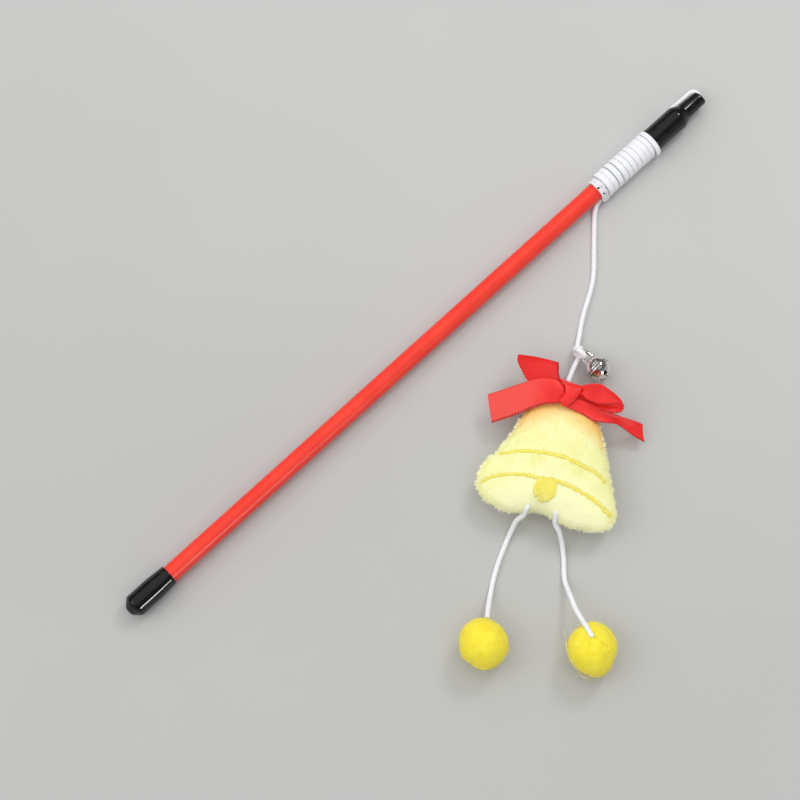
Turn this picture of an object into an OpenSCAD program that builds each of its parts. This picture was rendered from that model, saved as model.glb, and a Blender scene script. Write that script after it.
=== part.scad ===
// Cat teaser wand. The rod's axis is X, with the handle at the low end and the cord's nozzle at the high end.
// The origin is on the rod's axis, where the rod's end meets the closed end of the handle cap. Z is up.
// The toy hangs on the low Y side and lies on the same flat surface as the wand.

/* [Rod] */
// Length of the rod tube
rod_l = 300; // [220:5:420]
// Outer diameter of the rod tube
rod_d = 7.5; // [6.5:0.1:8.2]
// Wall of the rod tube
rod_wall = 0.8; // [0.5:0.1:1.4]

/* [Handle cap] */
// Outer diameter of the gripping cylinder
handle_d = 9.9; // [9.6:0.1:10.6]
// Outer diameter at the open mouth
handle_mouth_d = 8.8; // [8.6:0.1:9.4]
// Depth of the socket for the rod
handle_depth = 17.5; // [13:0.5:30]
// Length of the gripping cylinder, from the nose
handle_grip_l = 9.8; // [8:0.2:12]
// Thickness of the closed end, the nose included
handle_end_l = 4.5; // [4.2:0.1:7]
// Length of the conical nose
handle_nose_l = 3.7; // [2:0.1:4]
// Diameter of the nose's tip
handle_tip_d = 2.6; // [2:0.1:4.4]

/* [Tip cap] */
// Outer diameter of the sleeve
tip_d = 10.5; // [9.6:0.1:10.9]
// Length of the rod that the sleeve covers
tip_cover_l = 12.4; // [8:0.2:16]
// Length of the straight sleeve
tip_sleeve_l = 15.4; // [12:0.2:20]
// Length of the rounded shoulder
tip_shoulder_l = 3.6; // [2.5:0.1:6]
// Diameter at the root of the nozzle
nozzle_root_d = 7.7; // [6.6:0.1:8.5]
// Diameter at the end of the nozzle
nozzle_end_d = 6.3; // [5:0.1:7.5]
// Length of the nozzle
nozzle_l = 9.3; // [7:0.1:14]
// Diameter of the hole for the cord
nozzle_bore_d = 2.3; // [2.1:0.05:3]

/* [Cord] */
// Diameter of the elastic cord
cord_d = 1.9; // [1.5:0.05:2]
// Diameter of the stop knot in the tip cap
stop_knot_d = 4.6; // [3:0.1:6]
// Diameter of the knot above the jingle bell
bell_knot_d = 4.8; // [3.5:0.1:5]

/* [Winding] */
// Whole turns between the first and the last pass over the top
winding_turns = 10; // [2:1:20]
// Distance from one turn to the next
winding_pitch = 2.6; // [2.4:0.05:3.2]
// Width of the stretched cord on the rod
wound_w = 2.15; // [1.6:0.05:2.2]
// Thickness of the stretched cord on the rod
wound_t = 1.8; // [1.4:0.05:2]

/* [Clear band] */
// Width of the band along the rod
band_w = 3.6; // [2.5:0.1:5]
// Thickness of the band at its ridges
band_wall = 1.1; // [0.8:0.05:1.5]
// Number of turns that show as ridges
band_ridges = 3; // [1:1:5]

/* [Jingle bell] */
// Diameter of the two shells
bell_d = 10.2; // [8:0.1:12]
// Wall of the shells
bell_wall = 0.4; // [0.3:0.05:0.7]
// How far the crimped rim stands out
bell_rim = 0.25; // [0.15:0.05:0.5]
// Width of the crimped rim, both shells
bell_rim_w = 1.2; // [0.8:0.1:2]
// Width of the sound slots
bell_slot_w = 0.9; // [0.6:0.05:1.4]
// Diameter of the holes at the slots' ends
bell_slot_hole_d = 1.7; // [1:0.1:2.2]
// Diameter of the hole in the strap
strap_hole_d = 3; // [2.8:0.1:3.6]
// Thickness of the strap
strap_t = 0.5; // [0.4:0.05:0.6]
// Width of the strap
strap_w = 1.4; // [1:0.1:1.5]
// Diameter of the loose ball
pea_d = 3.2; // [2.5:0.1:4.5]

/* [Plush bell] */
// Width over the skirt
plush_w = 58; // [45:1:75]
// Height from the neck to the skirt
plush_h = 52; // [42:1:70]
// Thickness at the fullest place
plush_t = 20; // [14:0.5:26]
// Thickness of the plush cloth
plush_wall = 1.2; // [0.8:0.1:2]
// Thickness of the embroidery
stitch_t = 0.5; // [0.3:0.05:0.8]
// Width of the embroidered bands
stitch_w = 1.5; // [0.8:0.1:2.5]
// Diameter of the embroidered clapper
clapper_d = 9.8; // [6:0.2:14]
// Diameter of the cord's end knot inside
anchor_knot_d = 3.8; // [3:0.1:4.5]

/* [Ribbon bow] */
// Width of the ribbon
ribbon_w = 11; // [8:0.5:13]
// Thickness of the ribbon
ribbon_t = 0.35; // [0.25:0.05:0.5]
// Reach of the left tail from the knot's middle
tail_left_l = 31; // [24:1:40]
// Reach of the right tail from the knot's middle
tail_right_l = 34.5; // [28:1:44]
// Reach of the left loop
loop_left_l = 22; // [18:1:26]
// Reach of the right loop
loop_right_l = 24; // [20:1:28]
// Height of the loops' opening
loop_rise = 4.6; // [4:0.2:6]

/* [Pompoms] */
// Diameter of the left pompom
pompom_left_d = 20.5; // [18:0.5:22]
// Diameter of the right pompom
pompom_right_d = 21.5; // [18:0.5:22]

/* [Hidden] */

// Clearances
cap_fit = 0.05;
cord_fit = 0.15;
soft_gap = 0.3;
soft_flat = 0.5;
neck_gap = 0.5;
overrun = 1;

// Smoothness
round_fn = 72;
small_fn = 40;
hull_fn = 24;
cord_sides = 8;

// Colours
red = [1, 0.22, 0.15];
black = [0.06, 0.06, 0.07];
white = [0.94, 0.93, 0.97];
clear = [0.85, 0.88, 0.9, 0.5];
silver = [0.8, 0.8, 0.82];
satin_red = [0.95, 0.15, 0.13];
plush_yellow = [0.98, 0.96, 0.68];
gold = [0.99, 0.85, 0.3];
pompom_yellow = [1, 0.92, 0.22];

// Radii that more than one piece uses
rod_r = rod_d / 2;
cord_r = cord_d / 2;
socket_r = rod_r + cap_fit;
wound_r = rod_r + 2 * cap_fit + wound_t / 2;
wound_outer_r = wound_r + wound_t / 2;

// The surface that everything lies on. The winding is cut flat there.
winding_flat = cord_d / 10;
floor_z = winding_flat - wound_outer_r;
cord_floor_z = floor_z + cord_r;

// Places along the rod
tip_mouth_x = rod_l - tip_cover_l;
shoulder_x = tip_mouth_x + tip_sleeve_l;
nozzle_x = shoulder_x + tip_shoulder_l;
tip_end_x = nozzle_x + nozzle_l;
cavity_gap = 0.3;

// The winding. Its advance gathers on the underside, so the turns cross the top nearly square to the rod.
winding_jog_share = 0.85;
winding_start_deg = -13;
winding_end_deg = 193;
winding_rings = 24;
winding_mouth_gap = 0.25;
winding_sides = 6;
bend_r = 2.2;
bend_deg = 27;
bend_rings = 4;
lead_l = cord_d;
lead_lift = tip_d / 2 + cord_fit + wound_t / 2 - wound_r;
lead_drop_deg = 200;
winding_x = tip_mouth_x - winding_mouth_gap - wound_w / 2 + winding_pitch / 4;
winding_total_deg = 360 * winding_turns + winding_end_deg;

function smooth(t) = t <= 0 ? 0 : t >= 1 ? 1 : t * t * (3 - 2 * t);
function jog(a) = winding_jog_share * winding_pitch / (2 * PI) * sin(a - 90);
function turn_x(a) = winding_x - winding_pitch * a / 360 + jog(a);
function turn_r(a) = wound_r + lead_lift * (1 - smooth((a - winding_start_deg) / lead_drop_deg));
function on_rod(x, r, a) = [x, r * cos(a), r * sin(a)];

turn_step = 360 / winding_rings;
turn_count = ceil((winding_total_deg - winding_start_deg) / turn_step);
turn_angles = [for (i = [0:turn_count])
    winding_start_deg + (winding_total_deg - winding_start_deg) * i / turn_count];
winding_out_x = turn_x(winding_total_deg) - bend_r;
winding_out_deg = winding_end_deg + bend_deg;
winding_in_x = turn_x(winding_start_deg) + bend_r;
winding_in_deg = winding_start_deg - bend_deg;
band_cover_l = 0.4;
band_x = winding_out_x + band_cover_l - band_w;
winding_points = concat(
    [on_rod(winding_in_x + lead_l, wound_r + lead_lift, winding_in_deg)],
    [for (i = [0:bend_rings - 1]) let (v = 90 * i / bend_rings)
        on_rod(winding_in_x - bend_r * sin(v), wound_r + lead_lift, winding_in_deg + bend_deg * (1 - cos(v)))],
    [for (a = turn_angles) on_rod(turn_x(a), turn_r(a), a)],
    [for (i = [1:bend_rings]) let (v = 90 * i / bend_rings)
        on_rod(winding_out_x + bend_r * cos(v), wound_r, winding_total_deg + bend_deg * sin(v))],
    [on_rod(band_x + band_w / 2, wound_r, winding_out_deg)],
    [on_rod(band_x, wound_r, winding_out_deg)]);

// The least gap between neighbouring turns, square to the cord, at the steepest place on the underside
steepest_rise = winding_pitch * (1 + winding_jog_share) / (2 * PI * wound_r);
turn_pairs = [for (a = turn_angles) if (a + 360 <= winding_total_deg)
    (turn_x(a) - turn_x(a + 360)) * cos(atan(steepest_rise)) - wound_w];
echo(least_gap_between_turns = min(turn_pairs));

// The hanging cord. Its points are counted from where it leaves the band.
exit_ball_gap = 0.25;
line_at = [band_x - cord_r - exit_ball_gap, wound_r * cos(winding_out_deg), wound_r * sin(winding_out_deg)];
line_steps = [
    [0, 0, 0], [-1.9, -0.6, -0.4], [-4, -2, -0.9], [-6.2, -4, -1.3], [-8.7, -6.5, -1.45],
    [-12, -9.8, -1.45], [-15.4, -13.3, -1.45], [-18.8, -16.8, -1.45], [-22.3, -20.2, -1.45],
    [-25.9, -23.2, -1.45], [-29.9, -25.8, -1.45], [-34.1, -28.2, -1.45], [-38.2, -30.6, -1.45],
    [-42.2, -33.2, -1.45], [-45.8, -35.9, -1.2], [-49, -38.2, -0.6]];
line_route = [for (p = line_steps) line_at + p];

// The knot, its eye and the jingle bell, counted from the same place
knot_step = [-51.4, -40, 0.3];
knot_at = line_at + knot_step;
bell_z = floor_z + bell_d / 2 + bell_rim;
eye_r = 1.9;
eye_wire_d = 1.8;
eye_at = [knot_at[0] + 0.2 * cord_d, knot_at[1] - eye_r - cord_r, bell_z];
strap_r = strap_hole_d / 2;
strap_at = eye_at - [0, strap_t / 2 + strap_r, 0];
bell_r = bell_d / 2;
strap_seat = 0.1;
pea_gap = 0.35;
bell_at = [strap_at[0], strap_at[1] - strap_r - strap_t - strap_seat - bell_r, bell_z];

// The toy's own axes: its X to the right and its Y up through the neck, turned from the wand's
toy_step = [-70.7, -52.35];
toy_at = [line_at[0] + toy_step[0], line_at[1] + toy_step[1], 0];
toy_turn = -54;
plush_mid_z = floor_z + plush_t / 2 - soft_flat;

// The lower cord, counted from the knot
lower_step = [-1.9, -3, 0.4];
lower_at = knot_at + lower_step;
neck_dir = [cos(toy_turn + 90), sin(toy_turn + 90), 0];
neck_base = [toy_at[0], toy_at[1], plush_mid_z] + neck_dir * soft_gap;
neck_top = neck_base + neck_dir * ribbon_w / 2;
lower_steps = [[0, 0, 0], [-2.5, -0.9, 0.8], [-5.2, -2, 2.3], [-7.8, -3.2, 4.3]];
lower_route = concat([for (p = lower_steps) lower_at + p],
    [neck_top + neck_dir * cord_d, neck_top, (neck_top + neck_base) / 2, neck_base]);

// Outline of the plush bell, as shares of half its width and of its height, from the neck round by the right
plush_outline_shares = [
    [0, 0], [0.21, 0], [0.36, -0.02], [0.455, -0.075], [0.505, -0.135], [0.56, -0.2], [0.655, -0.335],
    [0.755, -0.48], [0.87, -0.655], [0.965, -0.79], [0.985, -0.865], [0.925, -0.95], [0.775, -0.995],
    [0.55, -1], [0.345, -0.995], [0.17, -0.967], [0.02, -0.937], [-0.14, -0.93], [-0.31, -0.954],
    [-0.52, -0.965], [-0.725, -0.94], [-0.9, -0.887], [-0.99, -0.82], [-1, -0.73], [-0.94, -0.62],
    [-0.795, -0.515], [-0.67, -0.385], [-0.57, -0.25], [-0.505, -0.155], [-0.455, -0.077],
    [-0.36, -0.02], [-0.21, 0]];
plush_centre_share = -0.62;
plush_neck_share = 0.62;
plush_centre = [0, plush_centre_share * plush_h];
function outline(wall) = [for (p = plush_outline_shares)
    let (q = [p[0] * plush_w / 2, p[1] * plush_h] - plush_centre)
    q * (1 - wall / norm(q))];

// The dome's height over the seam: full over the skirt, thinner towards the neck
plush_ring_shares = [1, 0.985, 0.94, 0.86, 0.72, 0.5, 0.25];
dome_power = 2.4;
function fullness(y) = 1 - (1 - plush_neck_share) * smooth((y + plush_h * 0.75) / (plush_h * 0.75));
function dome(share, y, wall) = (plush_t / 2 - wall) * fullness(y) * sqrt(1 - pow(share, dome_power));

// The share of the way from the centre to the outline at which a point lies
function cross2(a, b) = a[0] * b[1] - a[1] * b[0];
function edge_share(p, a, b) = let (
    e = b - a,
    c = cross2(p, e),
    t = c == 0 ? -1 : cross2(a, e) / c,
    s = c == 0 ? -1 : cross2(a, p) / c)
    (t > 0 && s >= 0 && s <= 1) ? 1 / t : 0;
function point_share(p, o) = max([for (i = [0:len(o) - 1]) edge_share(p, o[i], o[(i + 1) % len(o)])]);
function dome_z(x, y) = let (o = outline(0), p = [x, y] - plush_centre)
    plush_mid_z + dome(min(1, point_share(p, o)), y, 0);

// The legs, in the toy's axes, counted from their roots at the lower seam
leg_left_root_shares = [-0.276, -0.952];
leg_right_root_shares = [0.173, -0.968];
leg_ball_gap = 0.3;
leg_drop = 9;
function leg_root(s) = [s[0] * plush_w / 2, s[1] * plush_h - leg_ball_gap - cord_r, cord_floor_z + leg_drop];
leg_left_steps = [
    [0, 0, 0], [-2.2, -1.8, -3.3], [-3.3, -4.9, -6.7], [-4.3, -8.6, -8.7], [-5.2, -13, -9],
    [-6.1, -17.8, -9], [-6.7, -22.5, -9], [-7, -26.8, -9], [-7.1, -30.9, -8.5], [-7.1, -35, -6.9],
    [-7, -39.1, -4.5], [-6.7, -43.3, -2]];
leg_right_steps = [
    [0, 0, 0], [2.1, -2.1, -2.7], [4.1, -5.6, -6.3], [5.5, -9.4, -8.5], [6.6, -13.4, -9],
    [7.3, -17, -9], [8.1, -20.3, -9], [9.5, -23.1, -9], [11.1, -25.9, -8.7], [12.8, -28.6, -7.3],
    [14.8, -31.5, -4.7], [16.6, -34.1, -1.9], [18.6, -36.7, 0.5]];
leg_left_dir = [0.65, -10.6, 1.5];
leg_right_dir = [4.5, -10, -1];
leg_left_route = [for (p = leg_left_steps) leg_root(leg_left_root_shares) + p];
leg_right_route = [for (p = leg_right_steps) leg_root(leg_right_root_shares) + p];
function pompom_at(route, dir, d) = let (e = route[len(route) - 1], r = d / 2,
    z = floor_z + r - soft_flat, flat = [dir[0], dir[1]] / norm([dir[0], dir[1]]),
    reach = sqrt(pow(r + cord_r / 2, 2) - pow(z - e[2], 2)))
    [e[0] + flat[0] * reach, e[1] + flat[1] * reach, z];

// The way out of the nozzle and back along the cap. Its points are counted from the nozzle's mouth.
tip_notch_l = 1.7;
tip_route_r = tip_d / 2 + cord_r + cord_fit;
tip_exit = [tip_end_x - tip_notch_l, 0, 0];
tip_steps = [
    [0, 0, 0], [0.5, 0, 0], [1.2, 0.3, 0], [2.1, 1.2, -0.2], [2.4, 2.6, -0.4], [1.8, 3.8, -0.7], [0.4, 4.4, -1.1],
    [-2.4, 4.6, -1.7], [-5.4, 4.8, -2.4], [-8.4, 5.1, -3.3], [-11.4, 5, -3.9]];
tip_side = [0, tip_route_r * cos(winding_in_deg), tip_route_r * sin(winding_in_deg)];
tip_last = [winding_in_x + lead_l, 0, 0];
tip_route = concat([for (p = tip_steps) tip_exit + p],
    [for (s = [0.25, 0.5, 0.75, 1]) let (x = tip_exit[0] + tip_steps[len(tip_steps) - 1][0])
        [x + (tip_last[0] - x) * s, tip_side[1], tip_side[2]]]);

// A tube swept along points that never run straight up. A round end closes it where a hinge lets it swing.
round_end_shares = [[-1, 0.25], [-0.8, 0.6], [-0.45, 0.89]];
function unit(v) = v / norm(v);
function heading(p, i) = unit(p[min(i + 1, len(p) - 1)] - p[max(i - 1, 0)]);
function side_of(t) = unit(cross([0, 0, 1], t));
function ring_at(c, t, r) = let (s = side_of(t), u = cross(t, s))
    [for (k = [0:cord_sides - 1]) let (a = 360 * (k + 0.5) / cord_sides) c + r * (cos(a) * s + sin(a) * u)];
function swept(p, r, rounded) = concat(
    rounded ? [for (e = round_end_shares) ring_at(p[0] + heading(p, 0) * e[0] * r, heading(p, 0), r * e[1])] : [],
    [for (i = [0:len(p) - 1]) ring_at(p[i], heading(p, i), r)]);

// The wound cord is wider than it is thick, and its broad faces lie on the rod
function wound_ring(p, i) = let (
    t = heading(p, i),
    out = unit([0, p[i][1], p[i][2]]),
    s = unit(cross(out, t)),
    u = cross(t, s))
    [for (k = [0:winding_sides - 1]) let (a = 360 * k / winding_sides)
        p[i] + s * cos(a) * wound_w / 2 + u * sin(a) * wound_t / 2 / sin(60)];

function middle(ring) = [for (k = [0:2]) sum([for (p = ring) p[k]]) / len(ring)];
function sum(v, i = 0) = i < len(v) ? v[i] + sum(v, i + 1) : 0;

module skin(rings) {
    n = len(rings[0]);
    m = len(rings);
    points = concat([for (r = rings) for (p = r) p], [middle(rings[0]), middle(rings[m - 1])]);
    walls = [for (j = [0:m - 2]) for (i = [0:n - 1]) for (f = [0, 1])
        f == 0 ? [j * n + i, (j + 1) * n + i, j * n + (i + 1) % n]
               : [j * n + (i + 1) % n, (j + 1) * n + i, (j + 1) * n + (i + 1) % n]];
    first = [for (i = [0:n - 1]) [m * n, i, (i + 1) % n]];
    last = [for (i = [0:n - 1]) [m * n + 1, (m - 1) * n + (i + 1) % n, (m - 1) * n + i]];
    polyhedron(points = points, faces = concat(first, last, walls), convexity = 10);
}

module cord_tube(route, rounded = false) skin(swept(route, cord_r, rounded));

// A body turned about the rod's axis, from points of distance along the rod and radius
module turned(points, fn = round_fn) rotate([90, 0, 90]) rotate_extrude($fn = fn)
    polygon([for (p = points) [p[1], p[0]]]);

module in_toy() translate([toy_at[0], toy_at[1], 0]) rotate(toy_turn) children();

// Wand
module rod_tube() color(red) turned([
    [0, rod_r - rod_wall], [rod_l, rod_r - rod_wall], [rod_l, rod_r], [0, rod_r]]);

module handle_cap() {
    nose_x = handle_nose_l - handle_end_l;
    nose_rise_shares = [[0, 0], [0.1, 0.22], [0.8, 0.94], [1, 1]];
    nose = [for (s = nose_rise_shares)
        [-handle_end_l + s[0] * handle_nose_l, (handle_tip_d + s[1] * (handle_d - handle_tip_d)) / 2]];
    color(black) turned(concat(
        [[-handle_end_l, 0]],
        nose,
        [[nose_x + handle_grip_l, handle_d / 2], [handle_depth, handle_mouth_d / 2],
         [handle_depth, socket_r], [-cap_fit, socket_r], [-cap_fit, 0]]));
}

module tip_cap() {
    shoulder_steps = 8;
    bore_r = nozzle_bore_d / 2;
    shoulder = [for (i = [0:shoulder_steps]) let (s = i / shoulder_steps)
        [shoulder_x + s * tip_shoulder_l, (tip_d - smooth(s) * (tip_d - nozzle_root_d)) / 2]];
    color(black) difference() {
        turned(concat(
            [[tip_mouth_x, tip_d / 2]],
            shoulder,
            [[tip_end_x, nozzle_end_d / 2], [tip_end_x, bore_r], [nozzle_x, bore_r],
             [shoulder_x + cavity_gap, socket_r], [tip_mouth_x, socket_r]]));
        translate([tip_end_x - tip_notch_l + overrun, nozzle_end_d / 2, -cord_fit])
            cube([2 * overrun + cord_fit * 2, nozzle_end_d, cord_d + 4 * cord_fit], center = true);
    }
}

module tip_stop_knot() {
    knot_x = shoulder_x + cavity_gap - stop_knot_d / 2;
    color(white) union() {
        translate([knot_x, 0, 0]) sphere(d = stop_knot_d, $fn = small_fn);
        translate([knot_x, 0, 0]) rotate([0, 90, 0]) cylinder(r = cord_r, h = tip_exit[0] - knot_x, $fn = small_fn);
    }
}

module tip_cord() color(white) cord_tube(tip_route);

module cord_winding() color(white) difference() {
    skin([for (i = [0:len(winding_points) - 1]) wound_ring(winding_points, i)]);
    translate([band_x - overrun, -2 * tip_d, floor_z - 2 * tip_d])
        cube([rod_l, 4 * tip_d, 2 * tip_d]);
}

module clear_band() {
    out_at = wound_r * [cos(winding_out_deg), sin(winding_out_deg)];
    groove_depth = band_wall / 3;
    slices = 2 * band_ridges - 1;
    slice_w = band_w / slices;
    color(clear) difference() {
        for (i = [0:slices - 1])
            translate([band_x + i * slice_w, 0, 0]) rotate([90, 0, 90])
                linear_extrude(slice_w) hull() {
                    circle(r = socket_r + band_wall - (i % 2) * groove_depth, $fn = small_fn);
                    translate(out_at) circle(r = cord_r + band_wall - (i % 2) * groove_depth, $fn = small_fn);
                }
        translate([band_x - overrun, 0, 0]) rotate([90, 0, 90])
            linear_extrude(band_w + 2 * overrun) hull() {
                circle(r = socket_r, $fn = small_fn);
                translate(out_at) circle(r = cord_r + cord_fit + cap_fit, $fn = small_fn);
            }
    }
}

// Line
module hang_cord_upper() color(white) cord_tube(line_route, true);

module bell_knot() color(white) union() {
    translate(knot_at) sphere(d = bell_knot_d, $fn = small_fn);
    translate(eye_at) rotate([0, 90, 0]) rotate_extrude($fn = small_fn)
        translate([eye_r, 0]) circle(d = eye_wire_d, $fn = hull_fn);
}

// Jingle bell, its axis along Y with the strap on the high side
module in_bell() translate(bell_at) rotate([-90, 0, 0]) children();

module bell_shell() {
    rim_r = bell_r + bell_rim;
    difference() {
        union() {
            sphere(r = bell_r, $fn = round_fn);
            translate([0, 0, -bell_rim_w / 2]) cylinder(r = rim_r, h = bell_rim_w, $fn = round_fn);
        }
        sphere(r = bell_r - bell_wall, $fn = round_fn);
        translate([0, 0, -bell_d]) cube(2 * bell_d, center = true);
    }
}

module bell_loop() color(silver) in_bell() translate([0, 0, bell_r + strap_seat + strap_t + strap_r]) {
    difference() {
        rotate([90, 0, 0]) cylinder(r = strap_r + strap_t, h = strap_w, center = true, $fn = small_fn);
        rotate([90, 0, 0]) cylinder(r = strap_r, h = strap_w + overrun, center = true, $fn = small_fn);
    }
    translate([-strap_w / 2, -strap_w / 2, -strap_r - strap_t - strap_seat - 2 * bell_wall])
        cube([strap_w, strap_w, strap_t / 2 + strap_seat + 2 * bell_wall]);
}

module bell_upper_shell() color(silver) in_bell() difference() {
    bell_shell();
    cube([strap_w + 2 * cap_fit, strap_w + 2 * cap_fit, 3 * bell_d], center = true);
}

module bell_lower_shell() {
    slot_l = bell_d * sin(55);
    color(silver) in_bell() mirror([0, 0, 1]) difference() {
        bell_shell();
        for (a = [0, 90]) rotate(a) {
            translate([-slot_l / 2, -bell_slot_w / 2, bell_rim_w]) cube([slot_l, bell_slot_w, bell_d]);
            for (s = [-1, 1]) rotate([0, s * 55, 0]) cylinder(d = bell_slot_hole_d, h = bell_d, $fn = hull_fn);
        }
    }
}

module bell_pea() color(silver) translate(bell_at - [0, 0, bell_r - bell_wall - pea_d / 2 - pea_gap])
    sphere(d = pea_d, $fn = small_fn);

// Plush bell
function dome_ring(s, wall, up) = [for (q = outline(wall)) let (p = plush_centre + q * s)
    [p[0], p[1], plush_mid_z + up * dome(s, p[1], wall)]];
function dome_rings(wall, up) = [for (s = plush_ring_shares) dome_ring(s, wall, up)];
function last_first(r) = [for (i = [len(r) - 1:-1:0]) r[i]];

module cord_hole(extra) skin(swept(
    [[0, overrun, plush_mid_z], [0, -plush_h * 0.16, plush_mid_z]], cord_r + extra, false));

module anchor_ball(extra) translate([0, -plush_h * 0.19, plush_mid_z])
    sphere(d = anchor_knot_d + 2 * extra, $fn = hull_fn);

module plush_panel(up) {
    rings = concat(last_first(dome_rings(plush_wall, up)), dome_rings(0, up));
    difference() {
        skin(up < 0 ? rings : [for (r = rings) last_first(r)]);
        cord_hole(neck_gap);
        if (up < 0) translate([-plush_w, -2 * plush_h, floor_z - plush_t])
            cube([2 * plush_w, 3 * plush_h, plush_t]);
    }
}

module plush_front() color(plush_yellow) in_toy() plush_panel(1);

module plush_back() color(plush_yellow) in_toy() plush_panel(-1);

module plush_filling() {
    wall = plush_wall + 2 * cap_fit;
    upper = dome_rings(wall, 1);
    rings = concat(last_first(dome_rings(wall, -1)), [for (i = [1:len(upper) - 1]) upper[i]]);
    color("white") in_toy() difference() {
        skin([for (r = rings) last_first(r)]);
        cord_hole(neck_gap);
        anchor_ball(cord_fit);
    }
}

module toy_anchor_knot() color(white) in_toy() union() {
    anchor_ball(0);
    translate([0, soft_gap, plush_mid_z]) rotate([90, 0, 0])
        cylinder(r = cord_r, h = plush_h * 0.19, $fn = small_fn);
}

// Embroidery. Each band follows the dome along a shallow arc.
upper_arc_shares = [[-0.75, -0.552], [-0.48, -0.512], [-0.217, -0.498], [0.09, -0.5], [0.37, -0.537],
    [0.614, -0.577], [0.738, -0.62]];
lower_arc_shares = [[-0.948, -0.8], [-0.755, -0.74], [-0.417, -0.698], [-0.207, -0.704], [0.114, -0.706],
    [0.39, -0.742], [0.628, -0.788], [0.91, -0.875]];
arc_steps = 4;
clapper_shares = [-0.055, -0.79];
stitch_lift = 0.12;
function toy_point(s) = [s[0] * plush_w / 2, s[1] * plush_h];
function spaced(p) = [for (i = [0:len(p) - 2]) for (k = [0:arc_steps - 1])
    p[i] + (p[i + 1] - p[i]) * k / arc_steps];
function rounded_off(p) = [for (i = [0:len(p) - 1]) let (a = p[max(i - 2, 0)], b = p[min(i + 2, len(p) - 1)])
    (a + 2 * p[i] + b) / 4];
function lifted(q, h) = [q[0], q[1], dome_z(q[0], q[1]) + stitch_lift + h];

module stitched_band(shares) {
    line = rounded_off(spaced([for (s = shares) toy_point(s)]));
    skin([for (i = [0:len(line) - 1]) let (t = unit(line[min(i + 1, len(line) - 1)] - line[max(i - 1, 0)]),
        n = [-t[1], t[0]] * stitch_w / 2)
        [lifted(line[i] + n, 0), lifted(line[i] + n / 2, stitch_t),
         lifted(line[i] - n / 2, stitch_t), lifted(line[i] - n, 0)]]);
}

module embroidered_arcs() color(gold) in_toy() {
    stitched_band(upper_arc_shares);
    difference() {
        stitched_band(lower_arc_shares);
        translate(toy_point(clapper_shares)) cylinder(d = clapper_d + 2 * soft_gap, h = plush_t, $fn = small_fn);
    }
}

module embroidered_clapper() {
    sides = 24;
    c = toy_point(clapper_shares);
    ring_shares = [[0.15, 0], [0.55, 0], [1, 0], [0.9, 1], [0.5, 1.2], [0.15, 1.25]];
    color(gold) in_toy() skin([for (s = ring_shares) [for (k = [0:sides - 1])
        lifted(c + s[0] * clapper_d / 2 * [cos(360 * k / sides), sin(360 * k / sides)], s[1] * stitch_t)]]);
}

// Ribbon bow. Every run is a thin wavy strip, cut to its outline as seen from above.
knot_half_w = 3.6;
knot_top_y = 6.2;
knot_low_y = -3.4;
knot_z = plush_mid_z + cord_r + ribbon_t + cap_fit;
run_gap = 0.15;
bow_z = plush_mid_z + plush_t / 4;
wrap_r = cord_r + cord_fit;

module bow_neck_wrap() color(satin_red) in_toy() difference() {
    translate([0, soft_gap, plush_mid_z]) rotate([-90, 0, 0])
        cylinder(r = wrap_r + 2 * ribbon_t, h = ribbon_w / 2, $fn = small_fn);
    translate([0, -overrun, plush_mid_z]) rotate([-90, 0, 0])
        cylinder(r = wrap_r, h = ribbon_w, $fn = small_fn);
}

module bow_knot() {
    upper_r = 2.1;
    lower_r = 1.5;
    upper_z = knot_z + upper_r + 2 * ribbon_t;
    lower_z = upper_z + ribbon_w / 9;
    color(satin_red) in_toy() hull() {
        for (x = [-knot_half_w + upper_r + 1, knot_half_w]) translate([x, knot_top_y - upper_r, upper_z])
            sphere(r = upper_r, $fn = hull_fn);
        for (x = [-knot_half_w + lower_r, lower_r]) translate([x, knot_low_y + lower_r, lower_z])
            sphere(r = lower_r, $fn = hull_fn);
    }
}

// Side view of a strip that follows points of reach and height
module strip_side(points) polygon(concat(
    points, [for (i = [len(points) - 1:-1:0]) points[i] + [0, ribbon_t]]));

// Side view of a loop: out along the top, round the bend and back below. The share is what lies above its root.
module loop_side(reach, rise, above_share) {
    steps = 20;
    function at(a, w) = [reach * (1 - cos(a)) / 2,
        rise * (a < 180 ? above_share : 1 - above_share) * sin(a) * (0.45 + 0.55 * sin(a / 2))]
        - w * [-cos(a), sin(a)];
    polygon(concat(
        [for (i = [0:steps]) let (a = 20 + 320 * i / steps) at(a, 0)],
        [for (i = [steps:-1:0]) let (a = 20 + 320 * i / steps) at(a, ribbon_t)]));
}

module bow_left_tail() {
    outline_shares = [[-0.121, 0.5], [-0.3, 0.56], [-0.51, 0.32], [-0.81, -0.1], [-1, -0.42],
        [-0.88, -1.43], [-0.54, -0.9], [-0.24, -0.36], [-0.121, -0.3]];
    side_shares = [[-1.02, 0.35], [-0.85, 0.62], [-0.6, 0.95], [-0.35, 1.06], [-0.1, 1]];
    run_z = bow_z + ribbon_t;
    color(satin_red) in_toy() intersection() {
        linear_extrude(4 * plush_t, center = true)
            polygon([for (s = outline_shares) [s[0] * tail_left_l, s[1] * ribbon_w]]);
        rotate([90, 0, 0]) linear_extrude(4 * ribbon_w, center = true)
            strip_side([for (s = side_shares) [s[0] * tail_left_l, s[1] * run_z]]);
    }
}

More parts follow.
